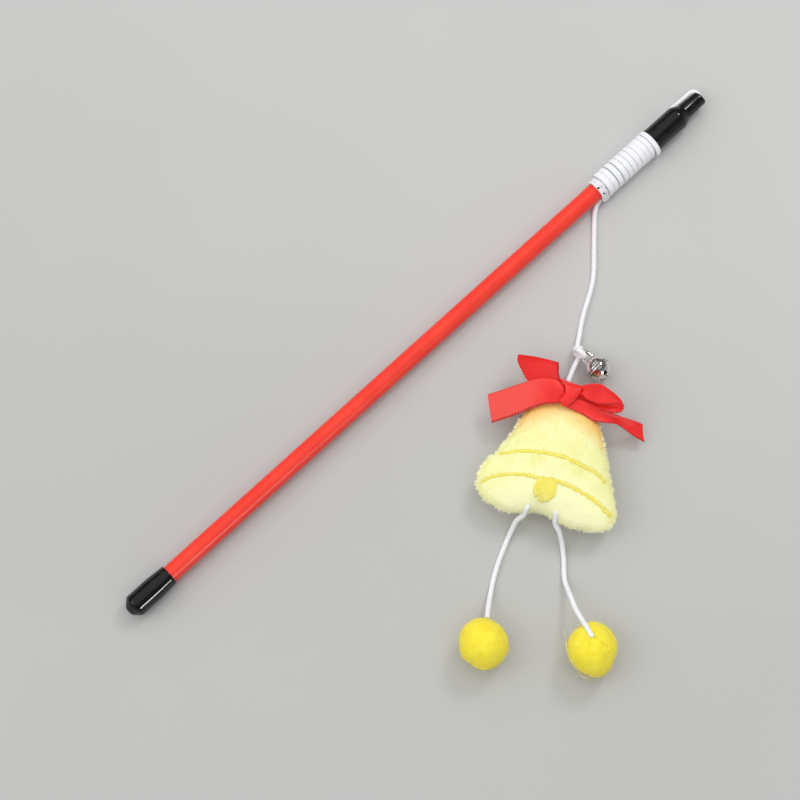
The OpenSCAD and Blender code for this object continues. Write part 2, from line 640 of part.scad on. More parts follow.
module bow_right_tail() {
    outline_shares = [[0.1075, -0.05], [0.39, -0.2], [0.67, -0.32], [0.94, -0.36], [1, -1.03],
        [0.81, -0.83], [0.64, -0.6], [0.42, -0.64], [0.26, -0.6], [0.09, -0.48]];
    side_shares = [[0.1, 0.97], [0.3, 0.95], [0.5, 0.85], [0.7, 0.45], [0.88, 0.05], [1.02, -0.15]];
    color(satin_red) in_toy() intersection() {
        linear_extrude(4 * plush_t, center = true)
            polygon([for (s = outline_shares) [s[0] * tail_right_l, s[1] * ribbon_w]]);
        rotate([90, 0, 0]) linear_extrude(4 * ribbon_w, center = true)
            strip_side([for (s = side_shares) [s[0] * tail_right_l, s[1] * bow_z]]);
    }
}

module bow_right_loop() {
    start_x = knot_half_w + 2 * ribbon_t;
    root_share = 0.8;
    root_z = bow_z + run_gap + loop_rise * (1 - root_share);
    outline_shares = [[0.1, 0.5], [0.49, 0.72], [0.71, 0.62], [0.92, 0.33], [1.02, 0.07], [0.97, -0.13],
        [0.77, -0.28], [0.5, -0.2], [0.1, 0]];
    color(satin_red) in_toy() intersection() {
        linear_extrude(4 * plush_t, center = true)
            polygon([for (s = outline_shares) [s[0] * loop_right_l, s[1] * ribbon_w]]);
        translate([start_x, 0, root_z]) rotate([90, 0, 0])
            linear_extrude(4 * ribbon_w, center = true) loop_side(loop_right_l - start_x, loop_rise, root_share);
    }
}

module bow_left_loop() {
    start_y = 0.3 * ribbon_w;
    reach = 1.27 * ribbon_w - start_y;
    outline_shares = [[-0.116, 0.3], [-0.116, 0.5], [-0.2, 0.7], [-0.25, 1.28], [-0.66, 1.3], [-1, 1.32],
        [-0.72, 0.35]];
    color(satin_red) in_toy() intersection() {
        linear_extrude(4 * plush_t, center = true)
            polygon([for (s = outline_shares) [s[0] * loop_left_l, s[1] * ribbon_w]]);
        translate([-loop_left_l, start_y, bow_z - loop_rise / 2 - run_gap]) rotate([90, 0, 90])
            linear_extrude(loop_left_l) loop_side(reach, loop_rise, 0.5);
    }
}

// Embroidery, bow and legs share the toy's axes, and the pompoms are cut flat where they lie
module hang_cord_lower() color(white) cord_tube(lower_route, true);

module pompom(at, d) difference() {
    translate(at) sphere(d = d, $fn = round_fn);
    translate([at[0], at[1], floor_z - d]) cube(2 * d, center = true);
}

module leg_cord_left() color(white) in_toy() cord_tube(leg_left_route, true);

module leg_cord_right() color(white) in_toy() cord_tube(leg_right_route, true);

module pompom_left() color(pompom_yellow) in_toy()
    pompom(pompom_at(leg_left_route, leg_left_dir, pompom_left_d), pompom_left_d);

module pompom_right() color(pompom_yellow) in_toy()
    pompom(pompom_at(leg_right_route, leg_right_dir, pompom_right_d), pompom_right_d);

rod_tube();
handle_cap();
tip_cap();
tip_stop_knot();
tip_cord();
cord_winding();
clear_band();
hang_cord_upper();
bell_knot();
bell_loop();
bell_upper_shell();
bell_lower_shell();
bell_pea();
hang_cord_lower();
bow_neck_wrap();
bow_knot();
bow_left_loop();
bow_left_tail();
bow_right_loop();
bow_right_tail();
plush_front();
plush_back();
plush_filling();
toy_anchor_knot();
embroidered_arcs();
embroidered_clapper();
leg_cord_left();
pompom_left();
leg_cord_right();
pompom_right();
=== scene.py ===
"""Looks of a cat teaser wand that lies on a pale table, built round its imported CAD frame.

Tables hold millimetres in the part's own frame, and the mesh makers turn them into metres.
"""

import math

import bmesh
import bpy
import numpy as np
from mathutils import Matrix, Vector, noise


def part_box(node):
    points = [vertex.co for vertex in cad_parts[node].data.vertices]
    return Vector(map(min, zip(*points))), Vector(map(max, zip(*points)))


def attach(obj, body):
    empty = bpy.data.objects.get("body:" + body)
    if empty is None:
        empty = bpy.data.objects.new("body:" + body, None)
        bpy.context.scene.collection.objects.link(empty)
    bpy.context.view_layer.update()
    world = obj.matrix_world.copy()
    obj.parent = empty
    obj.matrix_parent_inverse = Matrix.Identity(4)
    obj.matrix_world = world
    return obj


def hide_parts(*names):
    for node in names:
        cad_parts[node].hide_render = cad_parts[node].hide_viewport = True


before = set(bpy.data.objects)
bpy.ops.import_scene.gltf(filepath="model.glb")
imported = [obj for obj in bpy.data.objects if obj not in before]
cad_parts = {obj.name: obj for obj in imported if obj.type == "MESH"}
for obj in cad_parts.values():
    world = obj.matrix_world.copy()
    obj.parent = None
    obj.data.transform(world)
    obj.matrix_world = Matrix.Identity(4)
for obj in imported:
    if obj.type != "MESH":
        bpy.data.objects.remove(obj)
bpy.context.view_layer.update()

MM = 0.001
FLOOR_Z = -5.46
SEED = 7
draw = np.random.default_rng(SEED)

# ---- camera
RIGHT = np.array([0.7319427, -0.6813662, 0.0])
AWAY = np.array([0.6813662, 0.7319427, 0.0])
UP = np.array([0.0, 0.0, 1.0])
CAMERA_AT = (-13.9895, -168.8222, 869.8467)
ELEVATION = math.radians(76)
TOP = math.sin(ELEVATION) * AWAY + math.cos(ELEVATION) * UP
BACK = math.sin(ELEVATION) * UP - math.cos(ELEVATION) * AWAY
PICTURE = np.stack([RIGHT, TOP, BACK])
LENS = 99
SENSOR = 36


def new_object(name, data):
    made = bpy.data.objects.new(name, data)
    bpy.context.collection.objects.link(made)
    return made


def make_camera():
    data = bpy.data.cameras.new("photo_camera")
    data.lens = LENS
    data.sensor_width = SENSOR
    data.clip_start = 0.01
    camera = new_object("photo_camera", data)
    turn = Matrix([RIGHT, TOP, BACK]).transposed().to_4x4()
    camera.matrix_world = Matrix.Translation(Vector(CAMERA_AT) * MM) @ turn
    bpy.context.scene.camera = camera


make_camera()


# ---- shapes
def smooth(t):
    """0 to 1 with level ends."""
    t = np.clip(t, 0, 1)
    return t * t * (3 - 2 * t)


def unit(v):
    return v / np.maximum(np.linalg.norm(v, axis=-1, keepdims=True), 1e-12)


def run_of(line):
    """The length along a line up to each of its points."""
    return np.concatenate([[0], np.cumsum(np.linalg.norm(np.diff(line, axis=0), axis=1))])


def evenly(line, step):
    """The line again, with its points about step apart."""
    along = run_of(line)
    at = np.linspace(0, along[-1], max(2, int(round(along[-1] / step)) + 1))
    return np.stack([np.interp(at, along, line[:, k]) for k in range(line.shape[1])], axis=1)


def around(count):
    """Even angles round a turn."""
    return np.linspace(0, 2 * math.pi, count, endpoint=False)


def directions(angle):
    """Directions in a plane at the angles."""
    return np.stack([np.cos(angle), np.sin(angle)], -1)


def spline(points, fine=16):
    """A smooth curve through the points."""
    p = np.asarray(points, float)
    p = np.vstack([2 * p[0] - p[1], p, 2 * p[-1] - p[-2]])
    t = np.linspace(0, 1, fine, endpoint=False)[:, None]
    runs = [
        0.5 * (2 * b + (c - a) * t + (2 * a - 5 * b + 4 * c - d) * t**2 + (3 * b - a - 3 * c + d) * t**3)
        for a, b, c, d in zip(p[:-3], p[1:-2], p[2:-1], p[3:])
    ]
    return np.vstack(runs + [p[-2:-1]])


def as_object(name, points, faces, uv=None):
    """A mesh object from points in millimetres; uv has a pair for each corner of each face."""
    mesh = bpy.data.meshes.new(name)
    mesh.from_pydata((np.asarray(points, float) * MM).tolist(), [], [list(f) for f in faces])
    if uv is not None:
        layer = mesh.uv_layers.new(name="uv")
        layer.data.foreach_set("uv", np.asarray(uv, np.float32).ravel())
    mesh.polygons.foreach_set("use_smooth", [True] * len(mesh.polygons))
    mesh.update()
    return new_object(name, mesh)


def from_bmesh(name, bm):
    mesh = bpy.data.meshes.new(name)
    bm.to_mesh(mesh)
    bm.free()
    return new_object(name, mesh)


def grid_faces(rows, columns, wrap, first=0):
    """Quads over rows of columns points, and their uv corners, from 0 to 1 both ways."""
    across = columns if wrap else columns - 1
    i, j = (g.ravel() for g in np.meshgrid(np.arange(rows - 1), np.arange(across), indexing="ij"))
    k = (j + 1) % columns
    quads = first + np.stack([i * columns + j, i * columns + k, (i + 1) * columns + k, (i + 1) * columns + j], -1)
    u, v = j / across, i / (rows - 1)
    du, dv = 1 / across, 1 / (rows - 1)
    uv = np.stack([u, v, u + du, v, u + du, v + dv, u, v + dv], -1).reshape(-1, 4, 2)
    return quads, uv


def grid_object(name, rows, wrap=True, capped=True):
    """A skin over rows of points; each row is a ring where wrap is true, and the end rings are closed."""
    rows = np.asarray(rows, float)
    count, columns = rows.shape[:2]
    quads, uv = grid_faces(count, columns, wrap)
    points, faces, corners = rows.reshape(-1, 3), quads.tolist(), uv.reshape(-1, 2).tolist()
    if wrap and capped:
        for end, flip in ((0, True), (count - 1, False)):
            ring = [end * columns + j for j in range(columns)]
            points = np.vstack([points, rows[end].mean(0)])
            middle = len(points) - 1
            for a, b in zip(ring, ring[1:] + ring[:1]):
                faces.append([b, a, middle] if flip else [a, b, middle])
                corners += [[0.5, float(end > 0)]] * 3
    return as_object(name, points, faces, corners)


def above_table(points, gap):
    """The points, with those that lie too low lifted to the gap over the table."""
    points[..., 2] = np.maximum(points[..., 2], FLOOR_Z + gap)
    return points


def carried_frames(line, start=UP):
    """Directions along a line, and two across it that are carried along without a twist."""
    along = unit(np.gradient(line, axis=0))
    side = np.zeros_like(along)
    first = np.cross(start, along[0])
    if np.linalg.norm(first) < 0.1:
        first = np.cross(RIGHT, along[0])
    side[0] = unit(first)
    for i in range(1, len(line)):
        side[i] = unit(side[i - 1] - along[i] * (side[i - 1] @ along[i]))
    return along, side, np.cross(along, side)


STRANDS = 8
LAY_MM = 5.2


def braid(angle, along):
    """Height of a knitted sleeve's crossing strands, 0 to 1."""
    turn = 2 * math.pi * along / LAY_MM
    one = np.abs(np.sin(STRANDS * (angle + turn) / 2))
    other = np.abs(np.sin(STRANDS * (angle - turn) / 2))
    return np.maximum(one, other)


RELIEF = 0.07
SIDES = 32


def tube(name, line, radius, relief=RELIEF, sides=SIDES, capped=True):
    """A round cord along a line, with a knitted sleeve."""
    along, side, over = carried_frames(line)
    run = run_of(line)
    angle = around(sides)
    radius = np.broadcast_to(radius, len(line))[:, None]
    r = radius + relief * (braid(angle[None, :], run[:, None]) - 0.8)
    rows = line[:, None] + r[..., None] * (
        np.cos(angle)[None, :, None] * side[:, None] + np.sin(angle)[None, :, None] * over[:, None]
    )
    return grid_object(name, above_table(rows, 0.01), capped=capped)


def lathe(name, profile, centre=None, sides=96, closed=False):
    """A turned shape on the rod's axis, or on the line along -Y through a centre.

    profile has pairs of a place along the axis and a radius.
    """
    angle = around(sides)
    rows = []
    for at, r in profile:
        c, s = r * np.cos(angle), r * np.sin(angle)
        flat = np.full(sides, at)
        rows.append(np.stack((flat, c, s), -1) if centre is None else np.stack((c, -flat, s), -1) + centre)
    return grid_object(name, rows, capped=not closed)


# ---- the toy's own frame
TOY_AT = np.array([182.574, -55.989])
TOY_TURN = math.radians(-54)
TOY_X = np.array([math.cos(TOY_TURN), math.sin(TOY_TURN)])
TOY_Y = np.array([-math.sin(TOY_TURN), math.cos(TOY_TURN)])


def toy(points):
    """Points of the toy's own plan, x across, y towards the neck, z as it is, in the part's frame."""
    p = np.asarray(points, float)
    plan = TOY_AT + p[..., :1] * TOY_X + p[..., 1:2] * TOY_Y
    return np.concatenate([plan, p[..., 2:3]], axis=-1)


# ---- materials
class Nodes:
    """Shader nodes in a tree, made and joined step by step."""

    def __init__(self, tree):
        self.tree = tree
        self.place = tree.nodes.new("ShaderNodeTexCoord")

    def feed(self, made, inputs):
        """Joins outputs to a node's inputs, or sets numbers and colours there."""
        for into, value in inputs.items():
            if isinstance(value, bpy.types.NodeSocket):
                self.tree.links.new(value, made.inputs[into])
            elif value is not None:
                made.inputs[into].default_value = value

    def node(self, kind, inputs, **settings):
        made = self.tree.nodes.new("ShaderNode" + kind)
        for key, value in settings.items():
            setattr(made, key, value)
        self.feed(made, inputs)
        return made.outputs

    def ramp(self, value, low, high, first=0.35, last=0.65, greys=()):
        """Colours from low to high; greys has places between them with a grey for each."""
        out = self.node("ValToRGB", {"Fac": value})["Color"]
        stops = out.node.color_ramp.elements
        stops[0].position, stops[1].position = first, last
        stops[0].color, stops[1].color = (*low, 1), (*high, 1)
        for at, grey in greys:
            stops.new(at).color = (grey, grey, grey, 1)
        return out

    def mix(self, share, one, other):
        other = (*other, 1) if isinstance(other, tuple) else other
        return self.node("Mix", {0: share, 6: one, 7: other}, data_type="RGBA")[2]

    def math(self, operation, one, other=None):
        return self.node("Math", {0: one, 1: other}, operation=operation)["Value"]

    def dot(self, place, direction):
        way = tuple(float(c) for c in direction)
        return self.node("VectorMath", {0: place, 1: way}, operation="DOT_PRODUCT")["Value"]

    def scaled(self, value, kind, low, high, **settings):
        inputs = {"Value": value, kind + " Min": low, kind + " Max": high}
        return self.node("MapRange", inputs, **settings)["Result"]


class Look(Nodes):
    """A procedural material."""

    def __init__(self, name, roughness, **sockets):
        self.material = bpy.data.materials.new(name)
        self.material.use_nodes = True
        super().__init__(self.material.node_tree)
        self.at = self.place.outputs["Object"]
        self.shader = self.tree.nodes["Principled BSDF"]
        self.feed(self.shader, {"Roughness": roughness})
        self.feed(self.shader, {key.replace("_", " "): value for key, value in sockets.items()})
        self.height = None

    def noise(self, size_mm, detail=3.0):
        """Noise with features about size_mm across."""
        return self.node("TexNoise", {"Scale": 1 / (size_mm * MM), "Detail": detail, "Vector": self.at})["Fac"]

    def colour(self, value):
        self.feed(self.shader, {"Base Color": value})
        return self

    def rough(self, value, low, high):
        self.feed(self.shader, {"Roughness": self.scaled(value, "To", low, high)})
        return self

    def bump(self, value, depth_mm):
        inputs = {"Strength": 1.0, "Distance": depth_mm * MM, "Height": value, "Normal": self.height}
        self.height = self.node("Bump", inputs)["Normal"]
        self.feed(self.shader, {"Normal": self.height})
        return self

    def sum_of(self, *parts):
        """A number worked out from the place: the sum of place . direction + extra for each part.

        A part with a size other than 0 counts as its absolute value times that size.
        """
        total = None
        for direction, extra, size in parts:
            value = self.math("ADD", self.dot(self.at, np.asarray(direction) / MM), float(extra))
            if size:
                value = self.math("MULTIPLY", self.math("ABSOLUTE", value), size)
            total = value if total is None else self.math("ADD", total, value)
        return total

    def between(self, value, low, high):
        """0 where the value is low, 1 where it is high."""
        return self.scaled(value, "From", low, high, interpolation_type="SMOOTHSTEP")


def tinted(name, low, high, patch_mm, roughness, **sockets):
    """A look whose colour drifts between two tints in patches."""
    look = Look(name, roughness, **sockets)
    return look.colour(look.ramp(look.noise(patch_mm), low, high))


def make_looks():
    looks = {}

    def plain(key, name, low, high, patch_mm, roughness, grain_mm, depth_mm, **sockets):
        look = tinted(name, low, high, patch_mm, roughness, **sockets)
        looks[key] = look.bump(look.noise(grain_mm), depth_mm)

    rod = tinted("rod_red", (0.93, 0.04, 0.02), (0.98, 0.052, 0.027), 9, 0.3, Specular_IOR_Level=0.4)
    looks["rod"] = rod.rough(rod.noise(2.5), 0.28, 0.4).bump(rod.noise(1.2), 0.01)
    cap = tinted("cap_vinyl", (0.003, 0.003, 0.003), (0.009, 0.009, 0.008), 3, 0.12, Specular_IOR_Level=0.5)
    looks["vinyl"] = cap.rough(cap.noise(1.0), 0.06, 0.12).bump(cap.noise(4.0, 1.0), 0.02)
    plain("cord", "cord_elastic", (0.88, 0.89, 0.93), (0.94, 0.95, 0.98), 1.4, 0.7, 0.22, 0.05, Sheen_Weight=0.15)
    # Grey for the sides of the wound cord's turns: painted shade in the grooves between turns.
    plain("cord_groove_shade", "cord_groove_shade", (0.42, 0.43, 0.47), (0.5, 0.51, 0.55), 1.4, 0.8, 0.22, 0.05)
    band = Look("band_clear_painted_glints", 0.05, IOR=1.5, Transmission_Weight=0.04, Specular_IOR_Level=0.9, Coat_Weight=1.0)
    # Black and white patches in the base colour: painted reflections, the glints of the clear elastic.
    band.colour(band.ramp(band.noise(1.5, 0.5), (0.02, 0.02, 0.02), (0.98, 0.98, 1.0), 0.33, 0.37))
    looks["band"] = band.bump(band.noise(1.5, 0.5), 0.2)
    chrome = tinted("bell_nickel", (0.86, 0.83, 0.78), (0.95, 0.94, 0.9), 1.5, 0.08, Metallic=1.0)
    inputs = {"Scale": 0.2 / MM, "Distortion": 3.0, "Detail Scale": 2.0, "Vector": chrome.at}
    ripple = chrome.node("TexWave", inputs, bands_direction="Y")
    chrome.rough(chrome.noise(0.7), 0.04, 0.12).bump(chrome.noise(1.6, 1.0), 0.15)
    looks["chrome"] = chrome.bump(ripple["Fac"], 0.05)
    # Near black metal for the bell's crimp and the inside of its ring: painted shade where these hollows lie in shadow.
    plain("crease_shade", "bell_painted_shade", (0.05, 0.045, 0.04), (0.12, 0.11, 0.1), 1.0, 0.4, 0.5, 0.02, Metallic=1.0)
    pea = tinted("pea_steel", (0.4, 0.4, 0.4), (0.55, 0.55, 0.55), 0.6, 0.35, Metallic=1.0)
    looks["pea"] = pea.rough(pea.noise(0.3), 0.25, 0.5).bump(pea.noise(0.3), 0.01)
    satin = Look("satin_red", 0.42, Sheen_Weight=0.06, Specular_IOR_Level=0.4)
    # Towards the left tail's end the red turns paler: painted highlight, the satin's sheen where the light catches it.
    across = satin.sum_of(((*TOY_X, 0), -TOY_X @ TOY_AT, 0))
    tint = satin.ramp(satin.noise(6), (0.88, 0.012, 0.01), (0.96, 0.022, 0.018))
    satin.colour(satin.mix(satin.between(across, -5.0, -17.0), tint, (0.93, 0.07, 0.055)))
    looks["satin"] = satin.bump(satin.noise(0.16), 0.02)
    # A darker copy of the satin for the left loop: painted shade, as that loop lies behind the knot and the other runs.
    back = ((0.74, 0.008, 0.007), (0.84, 0.014, 0.012))
    plain("shade", "satin_painted_shade", *back, 6, 0.5, 0.16, 0.02, Specular_IOR_Level=0.3)
    # Dark red for the gaps between the picot loops: painted shade.
    plain("picot_shade", "satin_picot_shade", (0.24, 0.002, 0.002), (0.34, 0.004, 0.004), 1, 0.6, 0.2, 0.03)
    for name, low, high in (
        ("plush", (0.94, 0.92, 0.42), (0.97, 0.97, 0.5)),
        ("pile", (0.96, 0.94, 0.44), (0.98, 0.98, 0.56)),
    ):
        look = Look("plush_" + name, 0.9, Sheen_Weight=0.5, Sheen_Tint=(1, 1, 0.7, 1))
        tint = look.ramp(look.noise(5), low, high)
        # Orange near the bow, strongest at the shoulders: painted light, the red glow the ribbon throws on the plush.
        # Paler and lighter towards the bottom: painted light, where the dome turns away from the lamps.
        painted_light_reach = look.sum_of(((-TOY_Y[0], -TOY_Y[1], 0), TOY_Y @ TOY_AT, 0), ((*TOY_X, 0), -TOY_X @ TOY_AT, -0.55))
        tint = look.mix(look.between(painted_light_reach, 12.0, 0.0), tint, (0.96, 0.56, 0.14))
        look.colour(look.mix(look.between(painted_light_reach, 22.0, 44.0), tint, (1.0, 1.0, 0.66)))
        looks[name] = look.bump(look.noise(0.5), 0.04)
    plain("gold", "thread_gold", (1.0, 0.83, 0.08), (1.0, 0.95, 0.2), 0.7, 0.6, 0.15, 0.05, Sheen_Weight=0.2)
    plain("fringe", "plush_fringe", (0.96, 0.96, 0.6), (1.0, 1.0, 0.8), 2, 0.9, 0.5, 0.03, Sheen_Weight=0.5)
    plain("pompom", "pompom_yellow", (0.97, 0.8, 0.03), (1.0, 0.88, 0.06), 3, 0.95, 0.4, 0.08, Sheen_Weight=0.2)
    looks["stray"] = tinted("pompom_stray", (0.85, 0.83, 0.5), (0.95, 0.93, 0.68), 2, 0.6)
    plain("filling", "stuffing_white", (0.8, 0.8, 0.78), (0.9, 0.9, 0.88), 3, 0.95, 0.8, 0.4)
    return {name: look.material for name, look in looks.items()}


LOOKS = make_looks()


def piece(made, look, body, slot, *nodes):
    """Gives an object its look and its body, and hides the CAD nodes that it stands for; slot is not used."""
    made.data.materials.clear()
    made.data.materials.append(LOOKS[look])
    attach(made, body)
    if nodes:
        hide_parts(*nodes)
    return made


def mark(made, look, chosen):
    """Gives a second look to the faces chosen, and leaves any past the end of the list."""
    made.data.materials.append(LOOKS[look])
    marks = np.zeros(len(made.data.polygons), np.int32)
    marks[:np.size(chosen)] = np.ravel(chosen)
    made.data.polygons.foreach_set("material_index", marks)


# ---- cords
CORD_R = 0.95
SEEN_R = 1.02
STEP = 0.24


def route(start, steps):
    return np.asarray(start, float) + np.asarray(steps, float)


# Offsets from each run's start, traced over the picture.
TIP_CORD = np.vstack([
    route((314.2, 0, 0), [
        (0, 0, 0), (0.5, 0, 0), (1.2, 0.3, 0), (2.1, 1.2, -0.2), (2.4, 2.6, -0.4), (1.8, 3.8, -0.7),
        (0.4, 4.4, -1.1), (-2.4, 4.6, -1.7), (-5.4, 4.8, -2.4), (-8.4, 5.1, -3.3), (-11.4, 5.0, -3.9),
    ]),
    [(x, 4.864 - 0.038 * t, -4.082 + 0.032 * t) for t, x in zip((0, 0.3, 0.6, 0.8, 1), np.linspace(300.8, 290.776, 5))],
])
LINE_AT = (253.274, -3.639, -3.053)
HANG_UPPER = route(LINE_AT, [
    (0, 0, 0), (-1.9, -0.6, -0.4), (-4, -2, -0.9), (-6.2, -4, -1.3), (-8.7, -6.5, -1.45), (-12, -9.8, -1.45),
    (-15.4, -13.3, -1.45), (-18.8, -16.8, -1.45), (-22.3, -20.2, -1.45), (-25.9, -23.2, -1.45),
    (-29.9, -25.8, -1.45), (-34.1, -28.2, -1.45), (-38.2, -30.6, -1.45), (-42.2, -33.2, -1.45),
    (-45.8, -35.9, -1.2), (-49, -38.2, -0.6), (-50.6, -39.5, -0.2),
])
LOWER_AT = (199.974, -46.639, -2.353)
HANG_LOWER = np.vstack([
    route(LOWER_AT, [(1.1, 1.4, -0.2), (0, 0, 0), (-2.5, -0.9, 0.8), (-5.2, -2, 2.3), (-7.8, -3.2, 4.3)]),
    [(188.803, -51.463, 4.04), (187.266, -52.58, 4.04), (185.042, -54.196, 4.04), (182.817, -55.812, 4.04)],
])
LEG_LEFT = toy(route((-8.0, -50.75, 4.49), [
    (0, 0, 0), (-2.2, -1.8, -3.3), (-3.3, -4.9, -6.7), (-4.3, -8.6, -8.7), (-5.2, -13, -9), (-6.1, -17.8, -9),
    (-6.7, -22.5, -9), (-7, -26.8, -9), (-7.1, -30.9, -8.5), (-7.1, -35, -6.9), (-7, -39.1, -4.5), (-6.7, -43.3, -2),
]))
LEG_RIGHT = toy(route((5.0, -51.6, 4.49), [
    (0, 0, 0), (2.1, -2.1, -2.7), (4.1, -5.6, -6.3), (5.5, -9.4, -8.5), (6.6, -13.4, -9), (7.3, -17, -9),
    (8.14, -20.5, -8.1), (9.6, -23.7, -6.4), (11.3, -27.1, -3.8),
]))
RIGHT_BALL = np.array([119.458, -136.73, 4.79])
OVER_BALL = [(-6.1, 15.2, -4.0), (-3.6, 10.9, 1.5), (-1.7, 7.6, 5.5), (-0.5, 5.7, 7.2)]


def seen_from(centre, points):
    """Points given across the picture, up it, and towards the camera, counted from a centre."""
    return np.asarray(centre) + np.asarray(points, float) @ PICTURE


LEG_RIGHT = np.vstack([LEG_RIGHT, seen_from(RIGHT_BALL, OVER_BALL)])


def cord(name, points, body, node):
    """A run of the elastic cord."""
    line = evenly(spline(points), STEP)
    made = piece(tube(name, line, SEEN_R), "cord", body, "white_elastic", node)
    return made


def knot_line(centre, size, height, turn, tilt):
    """An overhand knot's line, which passes over and under itself three times."""
    t = np.linspace(0, 2 * math.pi, 150)
    p = np.stack([
        size * (np.sin(t) + 2 * np.sin(2 * t)) / 3, size * (np.cos(t) - 2 * np.cos(2 * t)) / 3,
        -height * np.sin(3 * t),
    ], -1)
    spin = Matrix.Rotation(turn, 3, "Z") @ Matrix.Rotation(tilt, 3, "X")
    return p @ np.array(spin).T + np.asarray(centre)


def make_knots_and_cords():
    knot_at = np.array([201.874, -43.639, -2.6]) + 0.5 * RIGHT - 0.5 * AWAY
    lump = knot_line(knot_at, 1.6, 0.8, math.radians(75), math.radians(12))
    eye_turn = np.radians(np.linspace(0, 180, 7))
    eye = np.stack([np.full(7, 201.5), -46.489 - 1.9 * np.sin(eye_turn), -0.11 + 1.9 * np.cos(eye_turn)], -1)
    loop = spline(np.vstack([
        [(201.2, -43.0, -0.9), (201.3, -44.7, 1.4)], eye, [(201.4, -44.7, -2.3), (201.4, -43.3, -2.4)],
    ]))
    parts = [tube("knot_lump", lump, 1.0, capped=False), tube("knot_eye", evenly(loop, STEP), 1.15)]
    parts.append(tube("knot_core", evenly(np.array([knot_at - RIGHT, knot_at + RIGHT]), STEP), 1.3))
    knot = joined(parts, "bell_knot_tied")
    piece(knot, "cord", "line", "white_elastic", "bell_knot")
    cord("cord_hang_upper", HANG_UPPER, "line", "hang_cord_upper")
    lower = tube("cord_hang_lower", evenly(spline(HANG_LOWER), STEP), SEEN_R)
    piece(lower, "cord", "toy", "white_elastic", "hang_cord_lower")
    cord("cord_tip", TIP_CORD, "wand", "tip_cord")
    for name, node, body in (("knot_tip_stop", "tip_stop_knot", "wand"), ("knot_toy_anchor", "toy_anchor_knot", "toy")):
        low, high = (np.array(c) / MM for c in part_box(node))
        size = (high - low).min() / 2 - CORD_R
        stop = tube(name, knot_line((low + high) / 2, size, size * 0.5, 0, 0), 0.85, capped=False)
        piece(stop, "cord", body, "white_elastic", node)


def joined(objects, name):
    """One object made of several, with the first one's look."""
    bm = bmesh.new()
    for o in objects:
        bm.from_mesh(o.data)
        mesh = o.data
        bpy.data.objects.remove(o)
        bpy.data.meshes.remove(mesh)
    return from_bmesh(name, bm)


make_knots_and_cords()


# ---- wand
def make_rod():
    inner, outer = 2.95, 3.75
    stations = np.linspace(0.3, 299.7, 60)
    profile = [(0.0, inner), (0.0, outer - 0.15), (0.15, outer)]
    profile += [(x, outer) for x in stations]
    profile += [(299.85, outer), (300.0, outer - 0.15), (300.0, inner)]
    profile += [(x, inner) for x in stations[::-6]] + [(0.0, inner)]
    piece(lathe("rod_tube_red", profile, closed=True), "rod", "wand", "red_plastic", "rod_tube")


HANDLE_NOSE = [
    (-4.5, 0.001), (-4.5, 0.75), (-4.45, 1.15), (-4.32, 1.6), (-4.13, 2.02), (-3.5, 2.72), (-2.9, 3.33), (-2.3, 3.94),
    (-1.9, 4.34), (-1.58, 4.63), (-1.25, 4.82), (-0.85, 4.92), (-0.4, 4.95),
]


def make_handle_cap():
    profile = HANDLE_NOSE + [(x, 4.95) for x in np.linspace(0, 9, 12)]
    profile += [(x, 4.95 - 0.55 * (x - 9) / 8.5) for x in np.linspace(9.6, 17.0, 12)]
    profile += [(17.25, 4.36), (17.42, 4.24), (17.5, 4.08), (17.47, 3.9), (17.35, 3.8), (8, 3.8), (0, 3.8), (0, 0.001)]
    made = lathe("handle_cap_vinyl", profile, closed=True)
    piece(made, "vinyl", "wand", "black_vinyl", "handle_cap")


def make_tip_cap():
    """Sleeve, smooth shoulder and nozzle, with a shallow notch in its mouth where the cord leaves."""
    profile = [(300.6, 3.8), (287.3, 3.8), (287.05, 3.95), (286.95, 4.3), (286.95, 4.85), (287.15, 5.12), (287.6, 5.3)]
    profile += [(x, 5.25) for x in np.linspace(288.9, 301.6, 12)]
    for s in np.linspace(0, 1, 18):
        profile.append((302.1 + 4.7 * s, 5.25 - 1.4 * float(smooth(s)) - 0.15 * s))
    for s in np.linspace(0.07, 1, 12):
        profile.append((306.8 + 8.6 * s, 3.7 - 0.27 * s - 0.18 * (1 - (1 - s) ** 2)))
    profile += [(315.75, 3.17), (315.9, 3.0), (315.9, 2.5), (315.75, 2.32), (315.3, 2.3)]
    profile += [(x, 2.3) for x in np.linspace(314.5, 307, 6)] + [(304, 3.2), (302, 3.8), (300.6, 3.8)]
    made = lathe("tip_cap_vinyl", profile, closed=True, sides=128)
    for v in made.data.vertices:
        x, y, z = (c / MM for c in v.co)
        if x > 313:
            dip = 1.7 * float(smooth(1 - abs(math.atan2(z, y)) / 0.75))
            slant = 0.35 * y / 3.15
            x -= (dip + slant) * float(smooth((x - 313) / 2.5))
        v.co.x = x * MM
    piece(made, "vinyl", "wand", "black_vinyl", "tip_cap")


WIND_SIDES = 28
WIND_PITCH = 2.6
WIND_END = 3793
WIND_FIRST_X = 286.925
CENTRE_R = 4.75
TURN_MM = 0.083


def near(a, middle, reach):
    """1 at the middle, falling smoothly to 0 at reach from it."""
    return float(smooth(1 - abs(a - middle) / reach))


